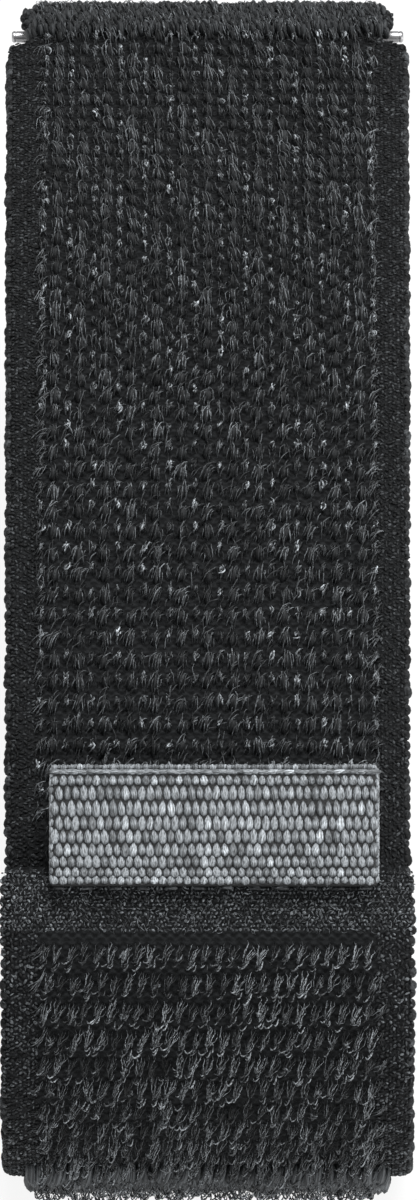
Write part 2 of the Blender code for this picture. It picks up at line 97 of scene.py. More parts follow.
class Slot(enum.Enum):
    """The record's material slots, which each piece is handed in with."""

    CLOTH = "charcoal_cloth"
    HOOKS = "black_hooks"
    RIBBON = "grey_ribbon"
    THREAD = "black_thread"
    STEEL = "polished_steel"


def joint_place(name: str) -> Vector:
    """Finds a hinge's place in the side view, as (Y, Z)."""
    return Vector(JOINTS[name]["pos_m"][1:])


def facing(angle: float) -> Vector:
    """Gives the unit vector at an angle in the side view."""
    return Vector((math.cos(angle), math.sin(angle)))


def square(way: Vector) -> Vector:
    """Turns a direction in the side view by a quarter turn."""
    return Vector((-way.y, way.x))


def ease(share: float) -> float:
    """Turns a share from 0 to 1 into a smooth one, and holds it outside."""
    held = min(max(share, 0.0), 1.0)
    return held * held * (3 - 2 * held)


# Node trees written as sums


def operator(operation: str, swapped: bool = False) -> Callable[..., "Value"]:
    """Makes a method of Value that adds one Math node.

    Args:
        operation: The node's operation.
        swapped: Whether the other operand comes first.

    Returns:
        The method.
    """

    def method(self: "Value", *others: "Value | float") -> "Value":
        """Adds the node."""
        operands = (*others, self) if swapped else (self, *others)
        return self.graph.maths(operation, *operands)

    return method


class Value:
    """A socket of a node tree. Arithmetic on it adds Math nodes to the tree."""

    __add__ = __radd__ = operator("ADD")
    __mul__ = __rmul__ = operator("MULTIPLY")
    __sub__ = operator("SUBTRACT")
    __rsub__ = operator("SUBTRACT", swapped=True)
    __truediv__ = operator("DIVIDE")
    __mod__ = operator("FLOORED_MODULO")
    __pow__ = operator("POWER")
    __abs__ = operator("ABSOLUTE")
    sign = operator("SIGN")
    sine = operator("SINE")
    cosine = operator("COSINE")

    def __init__(self, graph: "Graph", socket: bpy.types.NodeSocket) -> None:
        """Keeps the socket and the tree that it is in."""
        self.graph = graph
        self.socket = socket

    def wave(self) -> "Value":
        """Gives the sine of the value in turns."""
        return (self * math.tau).sine()

    def eased(self, low: float, high: float) -> "Value":
        """Goes smoothly from 0 at the low value to 1 at the high one."""
        values = {"Value": self, "From Min": low, "From Max": high}
        return self.graph.value("ShaderNodeMapRange", {"interpolation_type": "SMOOTHSTEP"}, values)


class Graph:
    """A node tree that is being built, for a material or for Geometry Nodes."""

    def __init__(self, tree: bpy.types.NodeTree) -> None:
        """Keeps the tree."""
        self.tree = tree

    def node(self, kind: str, settings: dict | None = None, values: dict | None = None) -> bpy.types.Node:
        """Adds a node.

        Args:
            kind: The node's type.
            settings: Its properties, which are set before its sockets.
            values: What its input sockets take, by name or number: a Value or a constant.

        Returns:
            The node.
        """
        made = self.tree.nodes.new(kind)
        for key, setting in (settings or {}).items():
            setattr(made, key, setting)
        for key, value in (values or {}).items():
            if isinstance(value, Value):
                self.tree.links.new(value.socket, made.inputs[key])
            else:
                made.inputs[key].default_value = value
        return made

    def output(self, node: bpy.types.Node, key: int | str = 0) -> Value:
        """Wraps one of a node's outputs."""
        return Value(self, node.outputs[key])

    def value(
        self, kind: str, settings: dict | None = None, values: dict | None = None, key: int | str = 0
    ) -> Value:
        """Adds a node and wraps one of its outputs."""
        return self.output(self.node(kind, settings, values), key)

    def maths(self, operation: str, *values: Value | float) -> Value:
        """Adds a Math node on the values."""
        return self.value("ShaderNodeMath", {"operation": operation}, dict(enumerate(values)))

    def vector(self, x: Value | float, y: Value | float, z: Value | float) -> Value:
        """Joins three values in a vector."""
        return self.value("ShaderNodeCombineXYZ", None, {0: x, 1: y, 2: z})

    def parts(self, vector: Value) -> tuple[Value, Value, Value]:
        """Splits a vector into its three values."""
        made = self.node("ShaderNodeSeparateXYZ", None, {0: vector})
        return tuple(self.output(made, i) for i in range(3))

    def product(self, first: Value, second: Value) -> Value:
        """Multiplies two vectors, component by component."""
        return self.value("ShaderNodeVectorMath", {"operation": "MULTIPLY"}, {0: first, 1: second})

    def blend(self, share: Value, first: tuple, second: tuple) -> Value:
        """Mixes two colours, from the first one at a share of 0 to the second one at 1."""
        values = {0: share, 6: (*first, 1.0), 7: (*second, 1.0)}
        return self.value("ShaderNodeMix", {"data_type": "RGBA"}, values, 2)

    def noise(self, place: Value, size: float, detail: float) -> Value:
        """Adds a noise from 0 to 1 whose features are about one size, in metres."""
        values = {"Vector": place, "Scale": 1 / size, "Detail": detail}
        return self.value("ShaderNodeTexNoise", None, values)


# Finishes


@dataclass(frozen=True)
class Finish:
    """A surface finish: its darkest and lightest colours, and its roughness."""

    RELIEF: ClassVar[dict[str, float]] = {"Distance": 0.00003, "Strength": 0.6}

    name: str
    dark: tuple[float, float, float]
    light: tuple[float, float, float]
    roughness: float
    specular: float = 0.5
    metallic: float = 0.0

    def look(self, graph: Graph) -> tuple[Value, Value, Value]:
        """Gives the share of the light colour, the roughness and the relief's height."""
        raise NotImplementedError

    def material(self) -> bpy.types.Material:
        """Makes the material.

        Returns:
            The material, dressed by the finish's own look.
        """
        made = bpy.data.materials.new(self.name)
        made.use_nodes = True
        made.diffuse_color = (*self.light, 1.0)
        graph = Graph(made.node_tree)
        surface = made.node_tree.nodes["Principled BSDF"]
        surface.inputs["Metallic"].default_value = self.metallic
        surface.inputs["Specular IOR Level"].default_value = self.specular
        share, roughness, relief = self.look(graph)
        colour = graph.blend(share, self.dark, self.light)
        bump = graph.value("ShaderNodeBump", None, {**self.RELIEF, "Height": relief}, "Normal")
        for key, value in (("Base Color", colour), ("Roughness", roughness), ("Normal", bump)):
            graph.tree.links.new(value.socket, surface.inputs[key])
        return made


@dataclass(frozen=True)
class WovenCloth(Finish):
    """Ground cloth: a fine plain weave that follows the piece's UV map, in metres."""

    RELIEF: ClassVar[dict[str, float]] = {"Distance": 0.00012, "Strength": 0.9}

    pitch: float = 0.00034
    fluff_size: float = 0.00012

    def look(self, graph: Graph) -> tuple[Value, Value, Value]:
        """Crosses threads, with uneven dye and fluff.

        Args:
            graph: The material's tree.

        Returns:
            The share of the light colour, the roughness and the relief's height.
        """
        place = graph.value("ShaderNodeTexCoord", key="UV")
        across, along, _ = graph.parts(place)
        weft = (along / self.pitch + (across / self.pitch / 2).wave() * 0.22).wave()
        warp = (across / self.pitch / 2).wave() * (along / self.pitch / 2).wave()
        threads = (weft * 0.35 + warp * 0.65) * 0.5 + 0.5
        fluff = graph.noise(place, self.fluff_size, 3.0)
        share = (threads * 0.6 + fluff * 0.6 - 0.1).eased(0.2, 1.0)
        return share, self.roughness - share * 0.15, threads * 0.7 + fluff * 0.3


@dataclass(frozen=True)
class Yarn(Finish):
    """Yarn whose strands differ: each takes its own shade between the two colours."""

    contrast: float = 2.0
    grain: float = 0.00016
    patch: float = 0.0013
    fleck: float = 0.8

    def shade(self, graph: Graph) -> Value:
        """Reads the shade that each strand was given, from 0 to 1."""
        settings = {"attribute_type": "GEOMETRY", "attribute_name": "shade"}
        return graph.value("ShaderNodeAttribute", settings, key="Fac")

    def look(self, graph: Graph) -> tuple[Value, Value, Value]:
        """Adds each strand's shade, the fine fibres along it and uneven patches.

        Args:
            graph: The material's tree.

        Returns:
            The share of the light colour, the roughness and the relief's height.
        """
        place = graph.value("ShaderNodeTexCoord", key="Object")
        fibres = graph.noise(place, self.grain, 2.0)
        patches = graph.noise(place, self.patch, 1.0).eased(0.3, 0.7)
        flecks = fibres.eased(0.36, 0.64) * self.fleck + (1 - self.fleck / 2)
        share = self.shade(graph) ** self.contrast * flecks * (patches * 0.7 + 0.6)
        return share, fibres * 0.2 + self.roughness - 0.1, fibres


@dataclass(frozen=True)
class Bundle(Yarn):
    """A bundle of fine fibres, which run along each copy's own UV map, in metres."""

    RELIEF: ClassVar[dict[str, float]] = {"Distance": 0.00004, "Strength": 0.8}

    fibre: float = 0.00007
    fibre_length: float = 0.0009

    def look(self, graph: Graph) -> tuple[Value, Value, Value]:
        """Adds fibres that run along the bundle, and its painted highlight and shade.

        Args:
            graph: The material's tree.

        Returns:
            The share of the light colour, the roughness and the relief's height.
        """
        across, along, _ = graph.parts(graph.value("ShaderNodeTexCoord", key="UV"))
        shade = self.shade(graph)
        drawn = graph.vector(across / self.fibre + shade * 40, along / self.fibre_length, shade * 9)
        fibres = graph.noise(drawn, 1.0, 2.0).eased(0.32, 0.72)
        share = (shade**self.contrast * 0.75 + 0.25) * (fibres * 0.85 + 0.15)
        # The crown's painted highlight and shade scale the share of the light colour.
        return share * self.crown(across, along), self.roughness - fibres * 0.12, fibres

    def crown(self, across: Value, along: Value) -> Value | float:
        """Gives the painted highlight and shade along the bundle. A plain one has none and is even."""
        return 1.0


@dataclass(frozen=True)
class PaintedLightRibbon(Bundle):
    """Ribbon yarn, with a painted highlight where it comes up and painted shade where it dives between
    others.
    """

    # How far the painted highlight reaches across and along each float, and where along it the painted
    # highlight peaks.
    half_width: float = 0.00025
    half_length: float = 0.00046
    peak: float = -0.00004

    def crown(self, across: Value, along: Value) -> Value:
        """Gives the painted highlight towards the crown of the yarn's float, and the painted shade towards
        its ends and sides.

        Args:
            across: The place across the yarn.
            along: The place along it.

        Returns:
            The share of its own colour that shows under the painted highlight and shade.
        """
        # Painted shade: darker away from the crown, across and along the float, and more slowly below the
        # painted highlight's peak.
        from_painted_highlight = along / self.half_length - self.peak / self.half_length
        below = along.graph.maths("LESS_THAN", from_painted_highlight, 0.0)
        reach = (across / self.half_width) ** 2.0 * 0.6 + from_painted_highlight**2.0 * (1 - below * 0.6)
        return (1 - reach).eased(0.05, 0.9) * 0.95 + 0.05


@dataclass(frozen=True)
class Steel(Finish):
    """Polished steel, with faint turning marks round the bar."""

    RELIEF: ClassVar[dict[str, float]] = {"Distance": 0.000001, "Strength": 0.1}

    mark_pitch: float = 0.00009
    smear_size: float = 0.0011

    def look(self, graph: Graph) -> tuple[Value, Value, Value]:
        """Adds turning marks along X and a slight smear.

        Args:
            graph: The material's tree.

        Returns:
            The share of the light colour, the roughness and the relief's height.
        """
        place = graph.value("ShaderNodeTexCoord", key="Object")
        along, _, _ = graph.parts(place)
        smear = graph.noise(place, self.smear_size, 2.0)
        marks = (along / self.mark_pitch + smear * 0.8).wave() * 0.5 + 0.5
        roughness = smear * 0.12 + marks * 0.03 + self.roughness - 0.05
        return smear.eased(0.25, 0.75), roughness, marks


def tinted(level: float) -> tuple[float, float, float]:
    """Gives a slightly cool grey of a level from 0 to 1."""
    return (0.93 * level, level, 1.06 * level)


GROUND = WovenCloth("charcoal_ground", tinted(0.005), tinted(0.02), 0.92, 0.1)
LOOP_YARN = Yarn("charcoal_loops", tinted(0.008), tinted(0.22), 0.42, 0.35, fleck=1.3)
LONG_YARN = Yarn(
    "charcoal_long_loops", tinted(0.006), tinted(0.3), 0.42, 0.35, grain=0.00011, fleck=1.8
)
STRAY_YARN = Yarn("charcoal_stray_loops", tinted(0.008), tinted(0.12), 0.55, 0.3, fleck=1.2)
TUFT_YARN = Bundle("charcoal_tufts", tinted(0.005), tinted(0.06), 0.65, 0.2)
# Painted light: a lighter copy of the tuft yarn for the fold, where the top light falls.
FOLD_PAINTED_LIGHT_YARN = Bundle("charcoal_fold_tufts", tinted(0.008), tinted(0.09), 0.6, 0.2, contrast=1.5)
# Painted light: lighter still for the tufts low in the bend, where light from below and in front falls.
BEND_PAINTED_LIGHT_YARN = replace(FOLD_PAINTED_LIGHT_YARN, name="charcoal_bend_tufts", light=tinted(0.2))
# Painted glint: curls far lighter than the loops, as highlights on the loops' crowns.
PAINTED_GLINT_YARN = Yarn("charcoal_curls", tinted(0.014), tinted(0.6), 0.4, 0.4, contrast=2.6, fleck=1.2)
KNIT_YARN = Yarn("charcoal_knit", tinted(0.004), tinted(0.075), 0.68, 0.2, contrast=2.6, fleck=1.5)
PALE_KNIT_YARN = replace(KNIT_YARN, name="charcoal_free_knit", light=tinted(0.155))
HEM_YARN = Yarn("charcoal_fuzz", tinted(0.008), tinted(0.24), 0.7, 0.25, contrast=1.8, fleck=1.2)
# Grey ribbon yarn; its light colour shows only at the painted highlight on each float's crown.
RIBBON_YARN_PAINTED_LIGHT = PaintedLightRibbon(
    "grey_ribbon_weave", tinted(0.008), tinted(0.82), 0.42, 0.35, contrast=1.5,
    fibre=0.00006, fibre_length=0.00035,
)
# Painted shade: the grey ribbon's core is near black, to show as shadow in the gaps between its yarns and at
# its sewn end.
RIBBON_PAINTED_SHADE_GROUND = WovenCloth("grey_ribbon_ground", tinted(0.004), tinted(0.02), 0.8)
HOOK_PLASTIC = Yarn("black_hooks_finish", tinted(0.01), tinted(0.03), 0.35, 0.5)
SEAM_THREAD = Yarn("black_thread_finish", tinted(0.01), tinted(0.04), 0.55, 0.4)
# Painted sheen: the tab's thread is lighter than the sleeve's black thread.
TAB_PAINTED_SHEEN_THREAD = Yarn("grey_thread_finish", tinted(0.03), tinted(0.12), 0.5, 0.4)
BAR_STEEL = Steel("polished_bar", (0.42, 0.42, 0.43), (0.54, 0.54, 0.55), 0.3, 0.5, 1.0)
WIRE_STEEL = Steel("spring_wire", (0.34, 0.34, 0.35), (0.46, 0.46, 0.47), 0.34, 0.5, 1.0)


# Rails in the side view


@dataclass(frozen=True)
class Station:
    """A place on a rail, with what the piece there is like."""

    point: Vector
    half: float
    thick: float
    heading: float = 0.0
    lean: float = 0.0
    loft: float = 1.0
    stretch: float = 1.0

    def out(self) -> Vector:
        """Gives the outward direction, square to the rail."""
        return square(facing(self.heading))


class Rail:
    """A row of stations, with the arc length to each."""

    CARRIED = ("heading", "half", "lean", "loft", "stretch")

    def __init__(self, stations: Sequence[Station]) -> None:
        """Turns each station along the rail and measures the lengths.

        Args:
            stations: The stations in order, whose headings are worked out here.
        """
        points = [station.point for station in stations]
        self.stations: list[Station] = []
        self.lengths: list[float] = []
        length = 0.0
        last = None
        for i, station in enumerate(stations):
            way = points[min(i + 1, len(points) - 1)] - points[max(i - 1, 0)]
            heading = math.atan2(way.y, way.x)
            if last is not None:
                heading = last + math.remainder(heading - last, math.tau)
                length += (points[i] - points[i - 1]).length
            last = heading
            self.stations.append(replace(station, heading=heading))
            self.lengths.append(length)

    def changed(self, change: Callable[[Station, float], Station]) -> "Rail":
        """Gives a rail of changed stations, each from the old one and its arc length."""
        return Rail([change(*pair) for pair in zip(self.stations, self.lengths)])

    def moved(self, share: float) -> "Rail":
        """Gives the rail that lies outward by a share of the thickness."""
        return self.changed(lambda s, _: replace(s, point=s.point + s.out() * s.thick * share))

    def between(self, first: float, last: float) -> "Rail":
        """Gives the stretch between two arc lengths."""
        return Rail([s for s, length in zip(self.stations, self.lengths) if first <= length <= last])

    @property
    def length(self) -> float:
        """The whole arc length."""
        return self.lengths[-1]

    def mesh(self, name: str) -> bpy.types.Mesh:
        """Makes the rail a line of edges that carries its values.

        Args:
            name: The mesh's name.

        Returns:
            The mesh.
        """
        made = bpy.data.meshes.new(name)
        points = [(0, *station.point) for station in self.stations]
        made.from_pydata(points, list(itertools.pairwise(range(len(points)))), [])
        for key in self.CARRIED:
            attribute = made.attributes.new(key, "FLOAT", "POINT")
            attribute.data.foreach_set("value", [getattr(s, key) for s in self.stations])
        return made


def arc(centre: Vector, radius: float, start: float, end: float, step: float) -> list[Vector]:
    """Places points round an arc.

    Args:
        centre: The arc's centre.
        radius: Its radius.
        start: The angle that it starts at.
        end: The angle that it ends at.
        step: The largest arc length between points.

    Returns:
        The points.
    """
    parts = max(2, math.ceil(abs(end - start) * radius / step))
    return [centre + facing(start + (end - start) * i / parts) * radius for i in range(parts + 1)]


def straight(start: Vector, end: Vector, step: float) -> list[Vector]:
    """Places points no further apart than a step, from a start up to, but not on, an end."""
    parts = max(1, math.ceil((end - start).length / step))
    return [start.lerp(end, i / parts) for i in range(parts)]


# Meshes


def new_object(name: str, data: bpy.types.ID) -> bpy.types.Object:
    """Puts a mesh, a lamp or a camera in the scene as an object at the origin."""
    made = bpy.data.objects.new(name, data)
    bpy.context.scene.collection.objects.link(made)
    return made


def finished(shape: bmesh.types.BMesh, name: str, sharp: float = math.pi) -> bpy.types.Mesh:
    """Closes off a mesh in the making: outward faces, smooth but for sharp edges.

    Args:
        shape: The mesh in the making.
        name: The mesh's name.
        sharp: The angle past which an edge stays sharp.

    Returns:
        The mesh.
    """
    bmesh.ops.remove_doubles(shape, verts=shape.verts, dist=SMALL)
    bmesh.ops.recalc_face_normals(shape, faces=shape.faces)
    made = bpy.data.meshes.new(name)
    shape.to_mesh(made)
    shape.free()
    made.shade_smooth()
    made.set_sharp_from_angle(angle=sharp)
    return made


def skinned(shape: bmesh.types.BMesh, rings: Sequence[list]) -> list[list[bmesh.types.BMFace]]:
    """Joins each ring of corners to the next, and caps both ends that aren't a single corner.

    Args:
        shape: The mesh in the making.
        rings: The rings, each with its corners in order. A pole is a ring of one.

    Returns:
        The faces between each pair of rings.
    """
    rows = []
    for near, far in itertools.pairwise(rings):
        count = max(len(near), len(far))
        row = []
        for i in range(count):
            after = (i + 1) % count
            corners = [near[i % len(near)], near[after % len(near)]]
            corners += [far[after % len(far)], far[i % len(far)]]
            row.append(shape.faces.new(list(dict.fromkeys(corners))))
        rows.append(row)
    for ring in (rings[0], rings[-1][::-1]):
        if len(ring) > 1:
            shape.faces.new(ring)
    return rows


def strip_mesh(name: str, rail: Rail, edge_points: int = 5, face_points: int = 10) -> bpy.types.Mesh:
    """Sweeps a flat band with rounded edges along a rail through its middle.

    Args:
        name: The mesh's name.
        rail: The middle of the band's thickness.
        edge_points: How many parts each rounded edge has.
        face_points: How many parts each face has across.

    Returns:
        The closed mesh, with a UV map in metres: across, and along.
    """
    shape = bmesh.new()
    uv = shape.loops.layers.uv.new("cloth")
    rings, sections = [], []
    for station in rail.stations:
        rim = station.thick / 2
        flat = station.half - rim
        section = []
        for side in (1, -1):
            for i in range(face_points):
                section.append((side * flat * (2 * i / face_points - 1), side * rim))
            for i in range(edge_points):
                angle = math.pi / 2 - math.pi * i / edge_points
                section.append((side * (flat + rim * math.cos(angle)), side * rim * math.sin(angle)))
        out = station.out()
        rings.append([shape.verts.new((x, *(station.point + out * z))) for x, z in section])
        sections.append(section)
    first = sections[0]
    around = [0.0, *itertools.accumulate(map(math.dist, first, first[1:] + first[:1]))]
    for row, faces in enumerate(skinned(shape, rings)):
        for i, face in enumerate(faces):
            for loop, mark, place in zip(face.loops, (i, i + 1, i + 1, i), (0, 0, 1, 1)):
                loop[uv].uv = (around[mark], rail.lengths[row + place])
    return finished(shape, name, math.radians(50))


def strand_mesh(
    name: str, points: Sequence[Vector], radius: float, sides: int, taper: float = 0.55
) -> bpy.types.Mesh:
    """Sweeps a thin closed strand along points.

    Args:
        name: The mesh's name.
        points: The strand's middle.
        radius: Its radius.
        sides: How many sides it has.
        taper: The share of the radius that is left at each end.

    Returns:
        The mesh.
    """
    shape = bmesh.new()
    rings = []
    across = Vector((1, 0, 0))
    for i, point in enumerate(points):
        way = (points[min(i + 1, len(points) - 1)] - points[max(i - 1, 0)]).normalized()
        across = (across - way * across.dot(way)).normalized()
        other = way.cross(across)
        width = radius * (taper if i in (0, len(points) - 1) else 1)
        turns = [math.tau * k / sides for k in range(sides)]
        rings.append(
            [shape.verts.new(point + (across * math.cos(a) + other * math.sin(a)) * width) for a in turns]
        )
    skinned(shape, rings)
    return finished(shape, name)


def bead_mesh(
    name: str, half: Sequence[float], fineness: int = 2, point: float = 0.0, foot: float = 0.0
) -> bpy.types.Mesh:
    """Makes a rounded bead, as yarn shows where it comes to a cloth's face.

    Args:
        name: The mesh's name.
        half: Half its size across, along and outward.
        fineness: How often its faces are divided.
        point: How far its far end is drawn in towards a point, from 0 to 1.
        foot: The same of its near end.

    Returns:
        The mesh.
    """
    shape = bmesh.new()
    uv = shape.loops.layers.uv.new("cloth")
    bmesh.ops.create_icosphere(shape, subdivisions=fineness, radius=1)
    for vertex in shape.verts:
        x, y, z = vertex.co
        narrow = 1 - max(point * y, -foot * y)
        vertex.co = (x * half[0] * narrow, y * half[1], z * half[2] * narrow)
    for face in shape.faces:
        for loop in face.loops:
            loop[uv].uv = loop.vert.co.xy
    return finished(shape, name)


def turned_mesh(name: str, profile: Sequence[tuple[float, float]], steps: int = 48) -> bpy.types.Mesh:
    """Turns a profile once round the X axis.

    Args:
        name: The mesh's name.
        profile: Points as (place along X, radius), both ends on the axis.
        steps: How many faces there are round it.

    Returns:
        The closed mesh.
    """
    shape = bmesh.new()
    rings = []
    for along, radius in profile:
        turns = [math.tau * k / steps for k in range(steps if radius > SMALL else 1)]
        rings.append([shape.verts.new((along, *(facing(a) * radius))) for a in turns])
    skinned(shape, rings)
    return finished(shape, name, math.radians(28))


# Repeated shapes, laid along a rail by Geometry Nodes


@dataclass(frozen=True)
class Pattern:
    """How a repeated shape is laid along a rail. Each field is an input of the node tree.

    A tuft is a spot of the pattern with all its copies. The fields that start with tuft_ vary
    whole tufts, and copies stand side by side over copy_reach each way. The cycle is the share
    of that difference that repeats, every three columns and along the diagonals.
    """

    row_pitch: float = 0.0
    columns: int = 1
    column_pitch: float = 0.0
    stagger: float = 0.0
    row_stagger: float = 0.0
    to_edges: float = 0.0
    inset: float = 0.0
    edge_drop: float = 0.0
    edge_round: float = 0.0005
    cycle: float = 0.0
    copies: int = 1
    copy_reach: float = 0.0
    leaf: float = 0.0
    fan: float = 0.0
    tuft_spread: tuple[float, float, float] = (0.0, 0.0, 0.0)
    tuft_turn: float = 0.0
    tuft_size: float = 0.0
    spread: tuple[float, float, float] = (0.0, 0.0, 0.0)
    lift: float = 0.0
    scale: tuple[float, float, float] = (1.0, 1.0, 1.0)
    variation: float = 0.15
    turn: float = 0.0
    turn_by_column: float = 0.0
    turn_spread: float = 0.15
    tip_spread: float = 0.1
    seed: int = 1


def pattern_tree() -> bpy.types.NodeTree:
    """Builds the tree that lays shapes along a rail in rows and columns.

    Returns:
        The tree, whose inputs are the rail, the shapes, the finish and a Pattern's fields.
    """
    tree = bpy.data.node_groups.new("shapes_along_rail", "GeometryNodeTree")
    sockets = {float: "Float", int: "Int", tuple: "Vector"}
    kinds = {"rail": "Geometry", "shapes": "Collection", "finish": "Material"}
    kinds |= {field.name: sockets[type(field.default)] for field in fields(Pattern)}
    for name, kind in kinds.items():
        tree.interface.new_socket(name=name, in_out="INPUT", socket_type=f"NodeSocket{kind}")
    tree.interface.new_socket(name="cloth", in_out="OUTPUT", socket_type="NodeSocketGeometry")
    graph = Graph(tree)
    given = graph.node("NodeGroupInput")
    take = {name: graph.output(given, name) for name in kinds}

    def carried(name: str) -> Value:
        """Reads a value that the rail carries."""
        return graph.value("GeometryNodeInputNamedAttribute", {"data_type": "FLOAT"}, {"Name": name})

    def chance(step: int) -> Value:
        """Draws a number from -1 to 1 for each point, from a step of the pattern's seed."""
        values = {2: -1.0, 3: 1.0, "Seed": take["seed"] * 20 + step}
        return graph.value("FunctionNodeRandomValue", {"data_type": "FLOAT"}, values, 1)

    def rotation(x: Value | float, z: Value | float) -> Value:
        """Makes a rotation about X and then about Z."""
        return graph.value("FunctionNodeEulerToRotation", None, {0: graph.vector(x, 0.0, z)})

    def keeping(geometry: Value, name: str, value: Value, domain: str = "POINT") -> Value:
        """Stores a number on each point or instance of some geometry."""
        settings = {"data_type": "FLOAT", "domain": domain}
        values = {"Geometry": geometry, "Name": name, "Value": value}
        return graph.value("GeometryNodeStoreNamedAttribute", settings, values)

    def points_of(mesh: Value) -> Value:
        """Makes a mesh's vertices points."""
        return graph.value("GeometryNodeMeshToPoints", {"mode": "VERTICES"}, {"Mesh": mesh})

    # The rail's rows: at an even pitch, or at its own stations where there is none
    line = graph.value("GeometryNodeMeshToCurve", None, {"Mesh": take["rail"]})
    pitch = graph.maths("MAXIMUM", take["row_pitch"], SHORTEST_PITCH)
    spaced = graph.value("GeometryNodeResampleCurve", {"mode": "LENGTH"}, {"Curve": line, "Length": pitch})
    cloud = graph.value("GeometryNodeCurveToPoints", {"mode": "EVALUATED"}, {"Curve": spaced})
    is_spaced = graph.maths("GREATER_THAN", take["row_pitch"], 0.0)
    choice = {"Switch": is_spaced, "False": points_of(take["rail"]), "True": cloud}
    rows = graph.value("GeometryNodeSwitch", {"input_type": "GEOMETRY"}, choice)
    rows = keeping(rows, "row", graph.value("GeometryNodeInputIndex"))

    # A spot for each column of each row, and its copies
    columns = graph.value(
        "GeometryNodeMeshLine",
        {"mode": "OFFSET", "count_mode": "TOTAL"},
        {"Count": take["columns"], "Offset": (1.0, 0.0, 0.0)},
    )
    crossed = graph.value("GeometryNodeInstanceOnPoints", None, {"Points": rows, "Instance": columns})
    spots = points_of(graph.value("GeometryNodeRealizeInstances", None, {"Geometry": crossed}))
    column, start_y, start_z = graph.parts(graph.value("GeometryNodeInputPosition"))
    spots = keeping(spots, "column", column)
    for step, name in enumerate(("drift_x", "drift_y", "drift_z", "swing")):
        spots = keeping(spots, name, chance(10 + step))
    diagonal = ((carried("column") * 2 + carried("row")) * (math.pi / 3)).sine()
    spots = keeping(spots, "bulk", diagonal * take["cycle"] + chance(14) * (1 - take["cycle"]))
    amount = {"Geometry": spots, "Amount": take["copies"]}
    copied = graph.node("GeometryNodeDuplicateElements", {"domain": "POINT"}, amount)
    middle_copy = (take["copies"] - 1) / 2
    copy = (graph.output(copied, 1) - middle_copy) / graph.maths("MAXIMUM", middle_copy, 1.0)

    # Where each copy stands
    centre = (take["columns"] - 1) / 2
    from_centre = carried("column") - centre
    side = (from_centre + SMALL).sign()
    odd_row = carried("row") % 2 - 0.5
    odd_column = carried("column") % 2 - 0.5
    field = from_centre * take["column_pitch"] + odd_row * take["stagger"] * take["column_pitch"]
    from_edge = (centre - abs(from_centre)) * take["column_pitch"] + take["inset"]
    border = side * (carried("half") - from_edge)
    base_yaw = take["turn"] + carried("lean") + carried("swing") * take["tuft_turn"]
    reach = copy * take["copy_reach"]
    spread_x, spread_y, spread_z = graph.parts(take["spread"])
    tuft_x, tuft_y, tuft_z = graph.parts(take["tuft_spread"])
    across = border * take["to_edges"] + field * (1 - take["to_edges"])
    across = across + tuft_x * carried("drift_x") + spread_x * chance(1)
    across = across + reach * base_yaw.cosine()
    along = tuft_y * carried("drift_y") + spread_y * chance(2) + reach * base_yaw.sine()
    along = along + odd_column * take["row_stagger"] * take["row_pitch"]
    rounding = graph.maths("MAXIMUM", 1 - from_edge / take["edge_round"], 0.0) ** 2.0
    outward = take["lift"] + tuft_z * carried("drift_z") + spread_z * chance(3)
    outward = outward - rounding * take["edge_drop"]
    shift = {
        "Vector": graph.vector(0.0, along, outward),
        "Rotation": graph.vector(carried("heading"), 0.0, 0.0),
    }
    turned = graph.value("ShaderNodeVectorRotate", {"rotation_type": "EULER_XYZ"}, shift)
    _, moved_y, moved_z = graph.parts(turned)
    position = graph.vector(across, start_y + moved_y, start_z + moved_z)
    moved = {"Geometry": graph.output(copied), "Position": position}
    placed = graph.value("GeometryNodeSetPosition", None, moved)

    # How each copy is turned and sized, and which shape it takes
    yaw = base_yaw + copy * take["fan"] + take["turn_spread"] * chance(4)
    yaw = yaw + odd_column * take["turn_by_column"]
    spin = rotation(take["tip_spread"] * chance(5), yaw)
    turns = {"Rotation": spin, "Rotate By": rotation(carried("heading"), 0.0)}
    facing_out = graph.value("FunctionNodeRotateRotation", {"rotation_space": "GLOBAL"}, turns)
    size = 1 + take["variation"] * chance(6) + take["tuft_size"] * carried("bulk")
    leafed = size * (1 - take["leaf"] * copy * copy)
    stretched = graph.vector(size, leafed * carried("stretch"), leafed * carried("loft"))
    draw = {4: 0, 5: 99, "Seed": take["seed"] * 20 + 7}
    family = {"Collection": take["shapes"], "Separate Children": True, "Reset Children": True}
    laying = {
        "Points": placed,
        "Instance": graph.value("GeometryNodeCollectionInfo", None, family),
        "Pick Instance": True,
        "Instance Index": graph.value("FunctionNodeRandomValue", {"data_type": "INT"}, draw, 2),
        "Rotation": facing_out,
        "Scale": graph.product(take["scale"], stretched),
    }
    laid = graph.value("GeometryNodeInstanceOnPoints", None, laying)
    shaded = keeping(laid, "shade", (carried("bulk") + chance(8) + 2) / 4, "INSTANCE")
    real = graph.value("GeometryNodeRealizeInstances", None, {"Geometry": shaded})
    paint = {"Geometry": real, "Material": take["finish"]}
    graph.node("NodeGroupOutput", None, {0: graph.value("GeometryNodeSetMaterial", None, paint)})
    return tree


